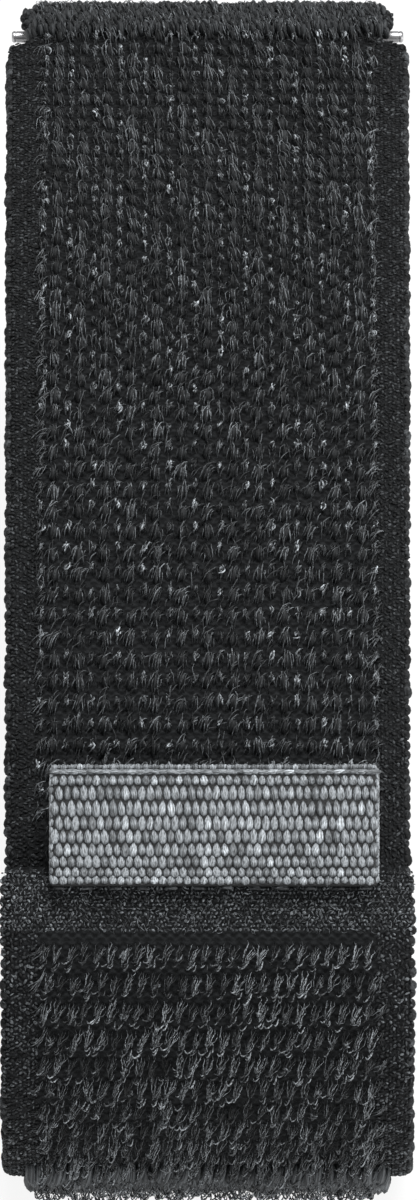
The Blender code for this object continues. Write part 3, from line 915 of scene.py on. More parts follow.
class Loom:
    """Makes finished pieces and reports them. It keeps the shapes and materials in use."""

    KEPT = ("position", "shade", "sharp_face", "sharp_edge", "cloth")

    def __init__(self) -> None:
        """Builds the pattern tree."""
        self.tree = pattern_tree()
        self.materials: dict[str, bpy.types.Material] = {}
        self.shapes: list[bpy.types.Object] = []

    def material(self, finish: Finish) -> bpy.types.Material:
        """Gives a finish's material, made once."""
        if finish.name not in self.materials:
            self.materials[finish.name] = finish.material()
        return self.materials[finish.name]

    def lay(
        self, name: str, rail: Rail, shapes: Iterable[bpy.types.Mesh], finish: Finish, pattern: Pattern
    ) -> bpy.types.Object:
        """Lays shapes along a rail and makes the result a plain mesh.

        Args:
            name: The piece's name.
            rail: Where the shapes go.
            shapes: The shapes that are picked from.
            finish: The piece's finish.
            pattern: How the shapes are laid.

        Returns:
            The piece.
        """
        family = bpy.data.collections.new(f"{name}_shapes")
        for mesh in shapes:
            self.shapes.append(bpy.data.objects.new(mesh.name, mesh))
            family.objects.link(self.shapes[-1])
        holder = new_object(f"{name}_rail", rail.mesh(f"{name}_rail"))
        laid = holder.modifiers.new("laid", "NODES")
        laid.node_group = self.tree
        values = {field.name: getattr(pattern, field.name) for field in fields(Pattern)}
        values |= {"shapes": family, "finish": self.material(finish)}
        for item in self.tree.interface.items_tree:
            if item.in_out == "INPUT" and item.name in values:
                laid[item.identifier] = values[item.name]
        view = bpy.context.evaluated_depsgraph_get()
        mesh = bpy.data.meshes.new_from_object(holder.evaluated_get(view))
        holder.modifiers.remove(laid)
        bpy.data.objects.remove(holder, do_unlink=True)
        for spare in [a.name for a in mesh.attributes if a.name not in self.KEPT]:
            if not spare.startswith("."):
                mesh.attributes.remove(mesh.attributes[spare])
        mesh.name = name
        return self.piece(name, mesh, finish)

    def piece(self, name: str, mesh: bpy.types.Mesh, finish: Finish) -> bpy.types.Object:
        """Makes a mesh a piece with a finish."""
        mesh.materials.clear()
        mesh.materials.append(self.material(finish))
        return new_object(name, mesh)

    def hand_in(
        self,
        piece: bpy.types.Object,
        slot: Slot,
        body: Body,
        far: Body | None = None,
        zone: tuple[Vector, Vector] | None = None,
        nodes: Sequence[str] = (),
    ) -> None:
        """Tells the frame what a finished piece rides on and stands for.

        Args:
            piece: The piece.
            slot: The record's slot for its finish; not used.
            body: The body that it rides on.
            far: The body that its far end follows, if it crosses a joint.
            zone: Where the crossing starts and ends.
            nodes: The solids that it replaces.
        """
        if far and zone:
            start, end = ((0, *point) for point in zone)
            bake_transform(piece, body.value, far.value, start=start, end=end)
        else:
            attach(piece, body.value)
        if nodes:
            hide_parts(*nodes)
        piece.data.calc_loop_triangles()
        LOG.info("%s: %d triangles", piece.name, len(piece.data.loop_triangles))

    def clear(self) -> None:
        """Removes the shapes that only served to be copied."""
        for holder in self.shapes:
            bpy.data.objects.remove(holder, do_unlink=True)
        self.shapes.clear()


# Shapes of yarn


Drawing = Callable[[random.Random], tuple[list[Vector], float]]


@dataclass(frozen=True)
class YarnShapes:
    """The small shapes that the cloth is made of, drawn from fixed seeds."""

    TUFTS: ClassVar[tuple] = (
        (0.00028, 0.00056, 0.00072), (0.00024, 0.00062, 0.00066), (0.0003, 0.0005, 0.0007)
    )
    STITCHES: ClassVar[tuple] = (
        (0.00008, 0.00017, 0.00008), (0.00007, 0.00013, 0.00008),
        (0.00010, 0.00015, 0.00008), (0.00006, 0.00019, 0.00008),
    )
    TURNS: ClassVar[tuple] = (
        (0.0003, 0.00036, 0.00044), (0.00028, 0.00033, 0.00046), (0.00031, 0.0003, 0.00042)
    )
    LONG_LOOP: ClassVar[tuple] = (
        (0.04, 0.82, -0.2), (0.05, 0.7, 0.5), (0.02, 0.42, 0.82), (0.0, 0.12, 0.98),
        (-0.02, -0.2, 1.0), (-0.04, -0.45, 0.86), (-0.07, -0.56, 0.55), (-0.07, -0.5, -0.1),
    )

    strand_radius: float = 0.000033
    loop_length: float = 0.0018
    loop_height: float = 0.0010
    root_depth: float = 0.0002

    def strands(
        self, name: str, count: int, seed: int, sides: int, draw: Drawing
    ) -> list[bpy.types.Mesh]:
        """Draws different strands of one kind.

        Args:
            name: The kind's name.
            count: How many there are.
            seed: Where their differences start.
            sides: How many sides each has.
            draw: Gives a strand's points and then its radius, from the dice.

        Returns:
            The strands.
        """
        dice = random.Random(seed)
        return [strand_mesh(f"{name}_{number}", *draw(dice), sides) for number in range(count)]

    def run_loops(self) -> list[bpy.types.Mesh]:
        """Draws loops that stand in a plane along the band.

        Returns:
            The loops.
        """

        def draw(dice: random.Random) -> tuple[list[Vector], float]:
            """Draws one loop."""
            length = self.loop_length * dice.uniform(0.65, 1.1)
            height = self.loop_height * dice.uniform(0.55, 0.85)
            skew = length * dice.uniform(-0.1, 0.1)
            slump = dice.uniform(-0.7, 0.1)
            points = []
            for i in range(6):
                share = i / 5
                rise = math.sin(math.pi * share) ** 0.75
                along = length * (share - 0.5 - slump * rise * 0.3)
                across = skew * math.sin(math.tau * share) + dice.uniform(-0.00003, 0.00003)
                points.append(Vector((across, along, (height + self.root_depth) * rise - self.root_depth)))
            return points, self.strand_radius * dice.uniform(0.7, 1.15)

        return self.strands("run_loop", 9, 7, 3, draw)

    def long_loops(self) -> list[bpy.types.Mesh]:
        """Draws long loops that lie down the band and curl round at the foot.

        Returns:
            The loops.
        """

        def draw(dice: random.Random) -> tuple[list[Vector], float]:
            """Draws one loop."""
            reach = dice.uniform(0.75, 1.1)
            high = dice.uniform(0.75, 1.1)
            points = []
            for x, y, z in self.LONG_LOOP:
                across = x + dice.uniform(-0.065, 0.065)
                points.append(Vector((across, y * reach, z * high)) * self.loop_height)
            return points, self.strand_radius * dice.uniform(0.65, 0.95)

        return self.strands("long_loop", 7, 8, 3, draw)

    def curls(self) -> list[bpy.types.Mesh]:
        """Draws the short curls that gather between the tufts, which the short band's run makes bright with
        a painted glint.

        Returns:
            The curls.
        """

        def draw(dice: random.Random) -> tuple[list[Vector], float]:
            """Draws one curl."""
            half = dice.uniform(0.00012, 0.00026)
            bend = dice.uniform(-0.6, 0.6) * half
            rise = dice.uniform(0.00004, 0.00014)
            shares = [i / 1.5 - 1 for i in range(4)]
            crowns = [1 - share * share for share in shares]
            points = [Vector((bend * c, half * s, rise * c)) for s, c in zip(shares, crowns)]
            return points, dice.uniform(0.000032, 0.00005)

        return self.strands("curl", 8, 12, 4, draw)

    def feet(self) -> list[bpy.types.Mesh]:
        """Draws the curls that cross the foot of each bundle of long loops.

        Returns:
            The curls.
        """

        def draw(dice: random.Random) -> tuple[list[Vector], float]:
            """Draws one curl."""
            half = dice.uniform(0.00009, 0.00017)
            rise = dice.uniform(0.00008, 0.0002)
            points = []
            for i in range(5):
                share = i / 2 - 1
                along = rise * share + 0.0001 * share * share - 0.00056
                points.append(Vector((half * share, along, 0.00095 - 0.00025 * share * share)))
            return points, dice.uniform(0.00003, 0.000045)

        return self.strands("foot", 5, 11, 4, draw)

    def fuzz(self) -> list[bpy.types.Mesh]:
        """Draws short broken fibres.

        Returns:
            The fibres.
        """

        def draw(dice: random.Random) -> tuple[list[Vector], float]:
            """Draws one fibre."""
            bend = dice.uniform(-0.6, 0.6)
            points = []
            for share in (0, 1 / 3, 2 / 3, 1):
                rise = math.sin(math.pi * share)
                along = self.loop_length * 0.24 * (share - 0.5)
                across = self.loop_length * 0.12 * bend * rise
                points.append(Vector((across, along, self.loop_height * 0.16 * rise)))
            return points, self.strand_radius * 0.6

        return self.strands("fibre", 5, 9, 3, draw)

    def beads(self, name: str, sizes: Sequence, *options: float) -> list[bpy.types.Mesh]:
        """Makes beads of some sizes, all with the same options of bead_mesh."""
        return [bead_mesh(f"{name}_{number}", size, *options) for number, size in enumerate(sizes)]

    def tuft_cores(self) -> list[bpy.types.Mesh]:
        """Makes the soft bodies of the tufts, which the loops stand round."""
        return self.beads("tuft_core", self.TUFTS, 2, 0.35, 0.35)

    def knit_beads(self) -> list[bpy.types.Mesh]:
        """Makes the small stitches of the selvedge."""
        return self.beads("knit_stitch", self.STITCHES, 1)

    def edge_turns(self) -> list[bpy.types.Mesh]:
        """Makes the weft turns that show as lumps along a cloth's edge."""
        return self.beads("edge_turn", self.TURNS)


# The bands


@dataclass(frozen=True)
class Sleeve:
    """A band's watch end, folded round its bar, in (forward, outward) from the bar."""

    ramp_start: float = -0.0035
    flap_end: float = -0.0075
    base_middle: float = 0.00065
    flap_middle: float = -0.00037
    cloth: float = 0.0010
    flap_cloth: float = 0.00096
    fold_cloth: float = 0.0007
    fold_radius: float = 0.0013
    shoulder: float = -0.0032
    notch_back: float = -0.0024
    notch_front: float = -0.0014
    flare_front: float = -0.0009
    corner_centre: float = -0.0002
    corner_radius: float = 0.0014
    sleeve_half: float = 0.0109
    fold_half: float = 0.01155
    loops_round: float = math.radians(80)
    seam_from_end: float = 0.0014

    def half(self, forward: float, band_half: float) -> float:
        """Gives the cloth's half width this far forward of the bar.

        Args:
            forward: How far in front of the bar.
            band_half: The band's own half width.

        Returns:
            The half width.
        """
        if forward <= self.shoulder:
            return band_half
        if forward <= self.notch_back:
            share = (forward - self.shoulder) / (self.notch_back - self.shoulder)
            return band_half + (self.sleeve_half - band_half) * ease(share)
        if forward <= self.flare_front:
            share = (forward - self.notch_front) / (self.flare_front - self.notch_front)
            return self.sleeve_half + (self.fold_half - self.sleeve_half) * ease(share)
        rise = min(max(forward - self.corner_centre, 0.0), self.corner_radius * 0.98)
        drawn_in = self.corner_radius - math.sqrt(self.corner_radius**2 - rise**2)
        return self.fold_half - drawn_in

    def bare(self) -> float:
        """Gives how much of the outer face, from the flap's end, carries no loops."""
        outer = self.fold_radius + self.fold_cloth / 2
        return outer * (math.pi - self.loops_round) - self.flap_end

    def stations(self, band_half: float, step: float) -> list[tuple[Vector, float, float]]:
        """Follows the cloth out along the band, round the bar and back along the flap.

        Args:
            band_half: The band's own half width.
            step: The largest length between stations.

        Returns:
            Each station's (forward, outward), half width and thickness.
        """
        start = Vector((self.ramp_start, self.base_middle))
        back = Vector((self.ramp_start, self.flap_middle))
        end = Vector((self.flap_end, self.flap_middle))
        first = math.atan2(start.y, start.x) - math.acos(self.fold_radius / start.length)
        last = math.atan2(back.y, back.x) + math.acos(self.fold_radius / back.length)
        round_bar = arc(Vector((0, 0)), self.fold_radius, first, last, step / 2)
        points = straight(start, round_bar[0], step) + round_bar
        points += straight(round_bar[-1], back, step)[1:] + straight(back, end, step) + [end]
        made = []
        for point in points:
            folded = ease((point.x - self.ramp_start) / -self.ramp_start)
            cloth = self.cloth if point.y > 0 else self.flap_cloth
            thick = cloth + (self.fold_cloth - cloth) * folded
            made.append((point, self.half(point.x, band_half), thick))
        return made


@dataclass
class Band:
    """A band of loop cloth: ground cloth, knitted selvedges, edge turns and the loop field."""

    loom: Loom
    shapes: YarnShapes
    bend_centre: Vector
    sleeve: Sleeve = Sleeve()
    half: float = 0.01205
    cloth: float = 0.0010
    pile: float = 0.0008
    selvedge: float = 0.0021
    step: float = 0.0003
    knit_pitch: float = 0.00029
    knit_column: float = 0.00024
    edge_pitch: float = 0.00062
    cut_in: float = 0.00014
    cut_size: float = 0.7
    seam_width: float = 0.0202

    @property
    def middle_depth(self) -> float:
        """How deep the ground cloth's middle lies under the loops' tops."""
        return self.pile + self.cloth / 2

    def hand_in(self, piece: bpy.types.Object, body: Body | None = None, nodes: Sequence[str] = ()) -> None:
        """Hands in a piece of the band, or of the body that is named."""
        raise NotImplementedError

    def grow(
        self,
        name: str,
        rail: Rail,
        shapes: Iterable[bpy.types.Mesh],
        pattern: Pattern,
        finish: Finish = LOOP_YARN,
        body: Body | None = None,
    ) -> None:
        """Lays shapes on the cloth and hands them in.

        Args:
            name: The piece's name.
            rail: Where they leave the cloth.
            shapes: The shapes that are picked from.
            pattern: How they are laid.
            finish: The piece's finish.
            body: The one body that it rides on, if it isn't all the band's.
        """
        self.hand_in(self.loom.lay(name, rail, shapes, finish, pattern), body)

    def knit(self, name: str, face: Rail, seed: int, finish: Finish = KNIT_YARN) -> None:
        """Knits both selvedges on a cloth's outer face.

        Args:
            name: The piece's name.
            face: The cloth's outer face.
            seed: Where its small differences start.
            finish: The piece's finish.
        """
        pattern = Pattern(
            row_pitch=self.knit_pitch, columns=2 * round(self.selvedge / self.knit_column),
            column_pitch=self.knit_column, row_stagger=0.5, to_edges=1.0, inset=0.00006,
            edge_drop=0.00022, spread=(0.00006, 0.00006, 0.00004), lift=0.00002, variation=0.3,
            turn=math.pi / 2, turn_by_column=0.9, turn_spread=1.3, tip_spread=0.35, seed=seed,
        )
        self.grow(name, face, self.shapes.knit_beads(), pattern, finish)

    def edges(self, name: str, core: Rail, seed: int) -> None:
        """Turns the weft round both edges, which scallops them.

        Args:
            name: The piece's name.
            core: The middle of the cloth's thickness.
            seed: Where its small differences start.
        """

        def trimmed(station: Station, _: float) -> Station:
            """Draws the turns in where the sleeve is cut in, so that the cut shows."""
            if station.half > self.sleeve.fold_half + SMALL:
                return station
            half = station.half - self.cut_in
            return replace(station, half=half, loft=self.cut_size, stretch=self.cut_size)

        pattern = Pattern(
            row_pitch=self.edge_pitch, columns=2, to_edges=1.0, inset=0.00008,
            spread=(0.00006, 0.00012, 0.0), turn_spread=0.2, tip_spread=0.0, seed=seed,
        )
        self.grow(name, core.changed(trimmed), self.shapes.edge_turns(), pattern, KNIT_YARN)

    def borders(self, row_pitch: float, seed: int) -> Pattern:
        """Gives the pattern of loops that lean over the border between field and selvedge."""
        return Pattern(
            row_pitch=row_pitch, columns=2, to_edges=1.0, inset=self.selvedge - 0.0001, copies=4,
            copy_reach=0.00014, fan=0.2, tuft_spread=(0.0001, 0.0002, 0.0), tuft_turn=0.2,
            tuft_size=0.2, spread=(0.00004, 0.0001, 0.00004), turn=-0.45,
            scale=(1.0, 0.85, 0.62), seed=seed,
        )

    def seam(self, name: str, body: Body, forward: Vector, outward: Vector) -> None:
        """Sews the sleeve's flap down.

        Args:
            name: Which bar the sleeve is on, front or rear.
            body: The body that the seam rides on.
            forward: The way from the band to the bar, in the side view.
            outward: The way from the bar to the loops, in the side view.
        """
        sleeve = self.sleeve
        place = joint_place(f"{name}_bar_spin") + forward * (sleeve.flap_end + sleeve.seam_from_end)
        place += outward * (sleeve.flap_middle - sleeve.flap_cloth / 2)
        seam = Seam(self.loom, f"{name}_sleeve_stitching", body, self.seam_width)
        seam.build(place, -outward)


@dataclass
class ShortBand(Band):
    """The band on the front bar: its top run, and its tail under the free end."""

    half: float = 0.0123
    tail_half: float = 0.01186
    tail_radius: float = 0.0126
    tail_start: float = math.radians(250)
    rise: float = math.radians(13.4)
    fall: float = math.radians(11.6)
    rise_length: float = 0.0100
    crest_length: float = 0.0460
    fall_length: float = 0.0186
    row_pitch: float = 0.001555
    column_pitch: float = 0.00154
    lean: float = math.radians(16)
    crest_drop: float = 0.18
    fold_drop: float = 0.37
    drop_start: float = 0.0055
    drop_length: float = 0.003
    run_stop: float = 0.0034
    front_length: float = 0.0045

    def spots(self) -> Pattern:
        """Gives the pattern of the tufts over the whole band."""
        return Pattern(
            row_pitch=self.row_pitch, columns=13, column_pitch=self.column_pitch, cycle=0.6,
            copies=9, copy_reach=0.0003, leaf=0.35, fan=0.12,
            tuft_spread=(0.00008, 0.00012, 0.00006), tuft_turn=0.18, tuft_size=0.12,
            spread=(0.00006, 0.00015, 0.0001), scale=(1.0, 0.9, 1.0), turn_spread=0.24,
            tip_spread=0.15, seed=21,
        )

    def slope(self, distance: float) -> float:
        """Gives the top run's slope this far from the bend."""
        return self.rise - (self.rise + self.fall) * ease((distance - self.rise_length) / self.crest_length)

    def core(self) -> Rail:
        """Follows the ground cloth's middle from the tail to the flap's end.

        Returns:
            The rail.
        """
        leave = math.pi / 2 + self.rise
        depth = self.middle_depth
        points = arc(self.bend_centre, self.tail_radius - depth, self.tail_start, leave, self.step)
        stations = [Station(point, self.tail_half, self.cloth) for point in points[:-1]]
        surface = self.bend_centre + facing(leave) * self.tail_radius
        run = self.rise_length + self.crest_length + self.fall_length
        parts = round(run / self.step)
        part = run / parts
        for i in range(parts):
            if i * part < run + self.sleeve.ramp_start:
                out = square(facing(self.slope(i * part)))
                half = self.tail_half + (self.half - self.tail_half) * i / parts
                stations.append(Station(surface - out * depth, half, self.cloth))
            surface = surface + facing(self.slope((i + 0.5) * part)) * part
        bar = joint_place("front_bar_spin")
        forward = facing(-self.fall)
        for point, half, thick in self.sleeve.stations(self.half, self.step):
            place = bar + forward * point.x + square(forward) * point.y
            stations.append(Station(place, half, thick))
        return Rail(stations)

    def hand_in(self, piece: bpy.types.Object, body: Body | None = None, nodes: Sequence[str] = ()) -> None:
        """Hands in a piece of the band, all of which rides on one body."""
        self.loom.hand_in(piece, Slot.CLOTH, body or Body.SHORT_BAND, nodes=nodes)

    def build(self) -> None:
        """Makes and hands in the band's pieces."""
        core = self.core()
        cloth = self.loom.piece("short_band_cloth", strip_mesh("short_band_cloth", core), GROUND)
        self.hand_in(cloth, nodes=["short_band"])
        face = core.moved(0.5)
        self.knit("short_band_knit", face.between(0, face.length + self.sleeve.flap_end), 11)
        self.edges("short_band_edges", core.between(0.0002, core.length - 0.0003), 12)
        bend = (self.tail_radius - self.pile) * (self.tail_start - math.pi / 2 - self.rise)
        fold = face.length - self.sleeve.bare()

        def dressed(station: Station, length: float) -> Station:
            """Leans and shortens the loops along the band."""
            share = (length - bend) / (fold - bend)
            lean = self.lean * (2 * ease((share - 0.25) / 0.6) - 1)
            loft = 1.0 - self.crest_drop * ease((share - 0.45) / 0.3)
            loft -= self.fold_drop * ease((length - fold + self.drop_start) / self.drop_length)
            return replace(station, lean=lean, loft=loft)

        roots = face.changed(dressed)
        field = roots.between(bend, fold)
        run = roots.between(bend, fold - self.run_stop)
        front = roots.between(fold - self.front_length, fold)
        tail = face.between(0.0006, bend - self.row_pitch / 2)
        spots = self.spots()
        cores = replace(
            spots, copies=1, copy_reach=0.0, leaf=0.0, spread=(0.0, 0.0, 0.0), variation=0.0,
            turn_spread=0.0, tip_spread=0.0,
        )
        knots = replace(
            spots, columns=14, copies=5, copy_reach=0.00014, scale=(1.0, 0.62, 0.9), variation=0.25,
            turn_spread=0.35, seed=28,
        )
        gathered = replace(
            spots, columns=14, copies=6, copy_reach=0.0, leaf=0.0, spread=(0.0001, 0.00022, 0.00012),
            lift=0.00045, turn_spread=0.5, tip_spread=0.5, variation=0.3, seed=24,
        )
        strays = replace(
            spots, columns=27, column_pitch=self.column_pitch / 2, cycle=0.0, copies=2, copy_reach=0.0,
            leaf=0.0, spread=(0.00022, 0.0008, 0.0001), scale=(1.0, 0.8, 0.6), turn_spread=0.4,
            tip_spread=0.2, seed=25,
        )
        close = replace(
            strays, row_pitch=0.0005, columns=56, column_pitch=0.00038, copies=4, lift=0.00025,
            spread=(0.00016, 0.0003, 0.00005), scale=(0.9, 0.6, 0.9), turn_spread=0.3, seed=26,
        )
        filling = replace(
            close, row_pitch=0.00045, columns=58, column_pitch=0.00039, stagger=0.5, copies=1,
            edge_drop=0.0004, edge_round=0.0011, spread=(0.00006, 0.00012, 0.00003), lift=0.0002,
            scale=(0.75, 0.85, 1.2), turn_spread=0.2, seed=27,
        )
        low = replace(spots, copies=4, scale=(1.0, 1.0, 0.7), seed=22)
        shapes = self.shapes
        for label, rail, draw, pattern, finish in (
            ("loops", field, shapes.run_loops, spots, LOOP_YARN),
            ("tufts", field, shapes.tuft_cores, cores, TUFT_YARN),
            ("knots", run, shapes.run_loops, knots, LOOP_YARN),
            # The curls on the top run take the painted glint.
            ("curls", run, shapes.curls, gathered, PAINTED_GLINT_YARN),
            ("strays", run, shapes.run_loops, strays, STRAY_YARN),
            ("fold_loops", front, shapes.run_loops, close, LOOP_YARN),
            # The fold's tufts take the painted light of the lit fold.
            ("fold_tufts", front, shapes.tuft_cores, filling, FOLD_PAINTED_LIGHT_YARN),
            ("borders", field, shapes.run_loops, self.borders(self.row_pitch, 23), LOOP_YARN),
            ("tail_loops", tail, shapes.run_loops, low, LOOP_YARN),
        ):
            self.grow(f"short_band_{label}", rail, draw(), pattern, finish)
        forward = facing(-self.fall)
        self.seam("front", Body.SHORT_BAND, forward, square(forward))


@dataclass
class LongBand(Band):
    """The band on the rear bar: its back run, its bend and the free end with a bare hem."""

    bend_radius: float = 0.0156
    tip_angle: float = math.radians(180 - 57.7)
    tip_half: float = 0.0121
    hem: float = 0.0038
    row_pitch: float = 0.00169
    column_pitch: float = 0.0008
    zone_half: float = 0.0042
    lean: float = math.radians(-16)
    back_loft: float = 0.72
    rise: float = 0.26
    rise_length: float = 0.008
    settling: float = 0.13
    settle_start: float = 0.014
    settle_length: float = 0.007
    lower_start: float = 0.0045
    lower_end: float = 0.0155
    field_stop: float = 0.0012
    corner: float = 0.00035
    corner_length: float = 0.0007
    seam_angle: float = math.radians(180 - 52.8)

    def core(self) -> Rail:
        """Follows the ground cloth's middle from the rear flap's end to the free end's tip.

        Returns:
            The rail.
        """
        bar = joint_place("rear_bar_spin")
        stations = []
        for point, half, thick in reversed(self.sleeve.stations(self.half, self.step)):
            stations.append(Station(bar + Vector((point.x, -point.y)), half, thick))
        radius = self.bend_radius - self.middle_depth
        level = self.bend_centre.y - radius
        start = Vector((bar.x + self.sleeve.ramp_start, level))
        end = Vector((self.bend_centre.x, level))
        stations += [Station(p, self.half, self.cloth) for p in straight(start, end, self.step)[1:]]
        first, last = 1.5 * math.pi, self.tip_angle
        bend = arc(self.bend_centre, radius, first, last, self.step)
        for i, point in enumerate(bend):
            share = i / (len(bend) - 1)
            from_tip = (1 - share) * abs(last - first) * radius
            corner = self.corner * (1 - ease(from_tip / self.corner_length))
            half = self.half + (self.tip_half - self.half) * ease(share / 0.75) - corner
            stations.append(Station(point, half, self.cloth))
        return Rail(stations)

    def zone(self) -> tuple[Vector, Vector]:
        """Gives where the cloth starts and ends its bend over the peel line."""
        hinge = joint_place("free_end_peel")
        along = square((self.bend_centre - hinge).normalized()) * self.zone_half
        return hinge - along, hinge + along

    def hand_in(self, piece: bpy.types.Object, body: Body | None = None, nodes: Sequence[str] = ()) -> None:
        """Hands in a piece that crosses the peel line, or one that rides on the named body.

        Args:
            piece: The piece.
            body: The one body that it rides on, if it crosses nothing.
            nodes: The solids that it replaces.
        """
        if body:
            self.loom.hand_in(piece, Slot.CLOTH, body, nodes=nodes)
        else:
            self.loom.hand_in(piece, Slot.CLOTH, Body.LONG_BAND, Body.FREE_END, self.zone(), nodes)

    def build(self) -> None:
        """Makes and hands in the band's pieces."""
        core = self.core()
        cloth = self.loom.piece("long_band_cloth", strip_mesh("long_band_cloth", core), GROUND)
        self.hand_in(cloth, nodes=["long_band", "free_end"])
        face = core.moved(0.5)
        hem_start = face.length - self.hem
        self.knit("long_band_knit", face.between(-self.sleeve.flap_end, hem_start), 31, PALE_KNIT_YARN)
        self.edges("long_band_edges", core.between(0.0003, core.length - 0.0004), 32)
        bend = face.length - (1.5 * math.pi - self.tip_angle) * (self.bend_radius - self.pile)

        def dressed(station: Station, length: float) -> Station:
            """Leans the loops, and lets them stand proudest low in the bend, clear of the table."""
            raised = self.rise * ease((length - bend) / self.rise_length)
            raised -= self.settling * ease((length - bend - self.settle_start) / self.settle_length)
            return replace(station, lean=self.lean, loft=self.back_loft + raised)

        roots = face.changed(dressed)
        run = roots.between(self.sleeve.bare(), bend)
        field = roots.between(bend + self.row_pitch, hem_start - self.field_stop)
        lower = roots.between(bend + self.lower_start, bend + self.lower_end)
        spots = Pattern(
            row_pitch=self.row_pitch, columns=25, column_pitch=self.column_pitch, stagger=0.25,
            copies=3, copy_reach=0.00015, fan=-0.26, tuft_spread=(0.00006, 0.0001, 0.00004),
            tuft_turn=0.15, tuft_size=0.1, spread=(0.00004, 0.00012, 0.00004),
            scale=(1.0, 0.8, 0.84), variation=0.14, turn_spread=0.14, seed=41,
        )
        thick = replace(spots, copies=8, spread=(0.00005, 0.00026, 0.0001), seed=42)
        feet = replace(
            thick, copies=3, copy_reach=0.0, scale=(1.1, 1.0, 1.1), variation=0.25, turn_spread=0.4,
            spread=(0.0001, 0.00024, 0.0001),
        )
        gathered = replace(
            feet, columns=13, column_pitch=2 * self.column_pitch, copies=4, lift=0.0006,
            spread=(0.0001, 0.00012, 0.0001), turn_spread=1.5, tip_spread=0.7, seed=44,
        )
        filling = replace(
            spots, row_pitch=self.row_pitch / 3, columns=56, column_pitch=0.00038, stagger=0.5,
            copies=1, copy_reach=0.0, fan=0.0, scale=(1.1, 1.3, 1.1), lift=0.0003, seed=45,
        )
        crossing = replace(
            feet, row_pitch=self.row_pitch / 2, lift=0.0004, spread=(0.00016, 0.00026, 0.00014),
            turn_spread=0.6, seed=46,
        )
        shapes = self.shapes
        self.grow("long_band_loops", run, shapes.long_loops(), spots, body=Body.LONG_BAND)
        for label, rail, draw, pattern, finish in (
            ("loops", field, shapes.long_loops, thick, LONG_YARN),
            ("feet", field, shapes.feet, feet, LONG_YARN),
            ("curls", field, shapes.curls, gathered, LOOP_YARN),
            # The tufts low in the bend take the painted light from below and in front.
            ("tufts", lower, shapes.tuft_cores, filling, BEND_PAINTED_LIGHT_YARN),
            ("low_feet", lower, shapes.feet, crossing, LONG_YARN),
            ("borders", field, shapes.run_loops, self.borders(self.row_pitch, 43), LOOP_YARN),
        ):
            self.grow(f"free_end_{label}", rail, draw(), pattern, finish)
        self.hem_fuzz(face.between(hem_start, face.length - 0.0001))
        self.seam("rear", Body.LONG_BAND, Vector((1, 0)), Vector((0, -1)))

    def hem_fuzz(self, face: Rail) -> None:
        """Covers the bare hem with close speckled stitches and short fibres.

        Args:
            face: The hem's outer face.
        """
        beads = Pattern(
            row_pitch=0.00024, columns=104, column_pitch=0.000235, stagger=0.5,
            spread=(0.00006, 0.00006, 0.00004), scale=(0.85, 0.75, 0.9), variation=0.3,
            turn_spread=1.6, tip_spread=0.3, seed=51,
        )
        loose = replace(
            beads, columns=60, column_pitch=0.0004, row_pitch=0.0003, copies=2, lift=0.00006,
            spread=(0.0002, 0.00015, 0.00004), scale=(0.75, 0.75, 0.75), seed=52,
        )
        shapes = self.shapes
        for name, draw, pattern in (
            ("free_end_hem", shapes.knit_beads, beads), ("free_end_hem_fibres", shapes.fuzz, loose)
        ):
            self.grow(name, face, draw(), pattern, HEM_YARN, Body.FREE_END)


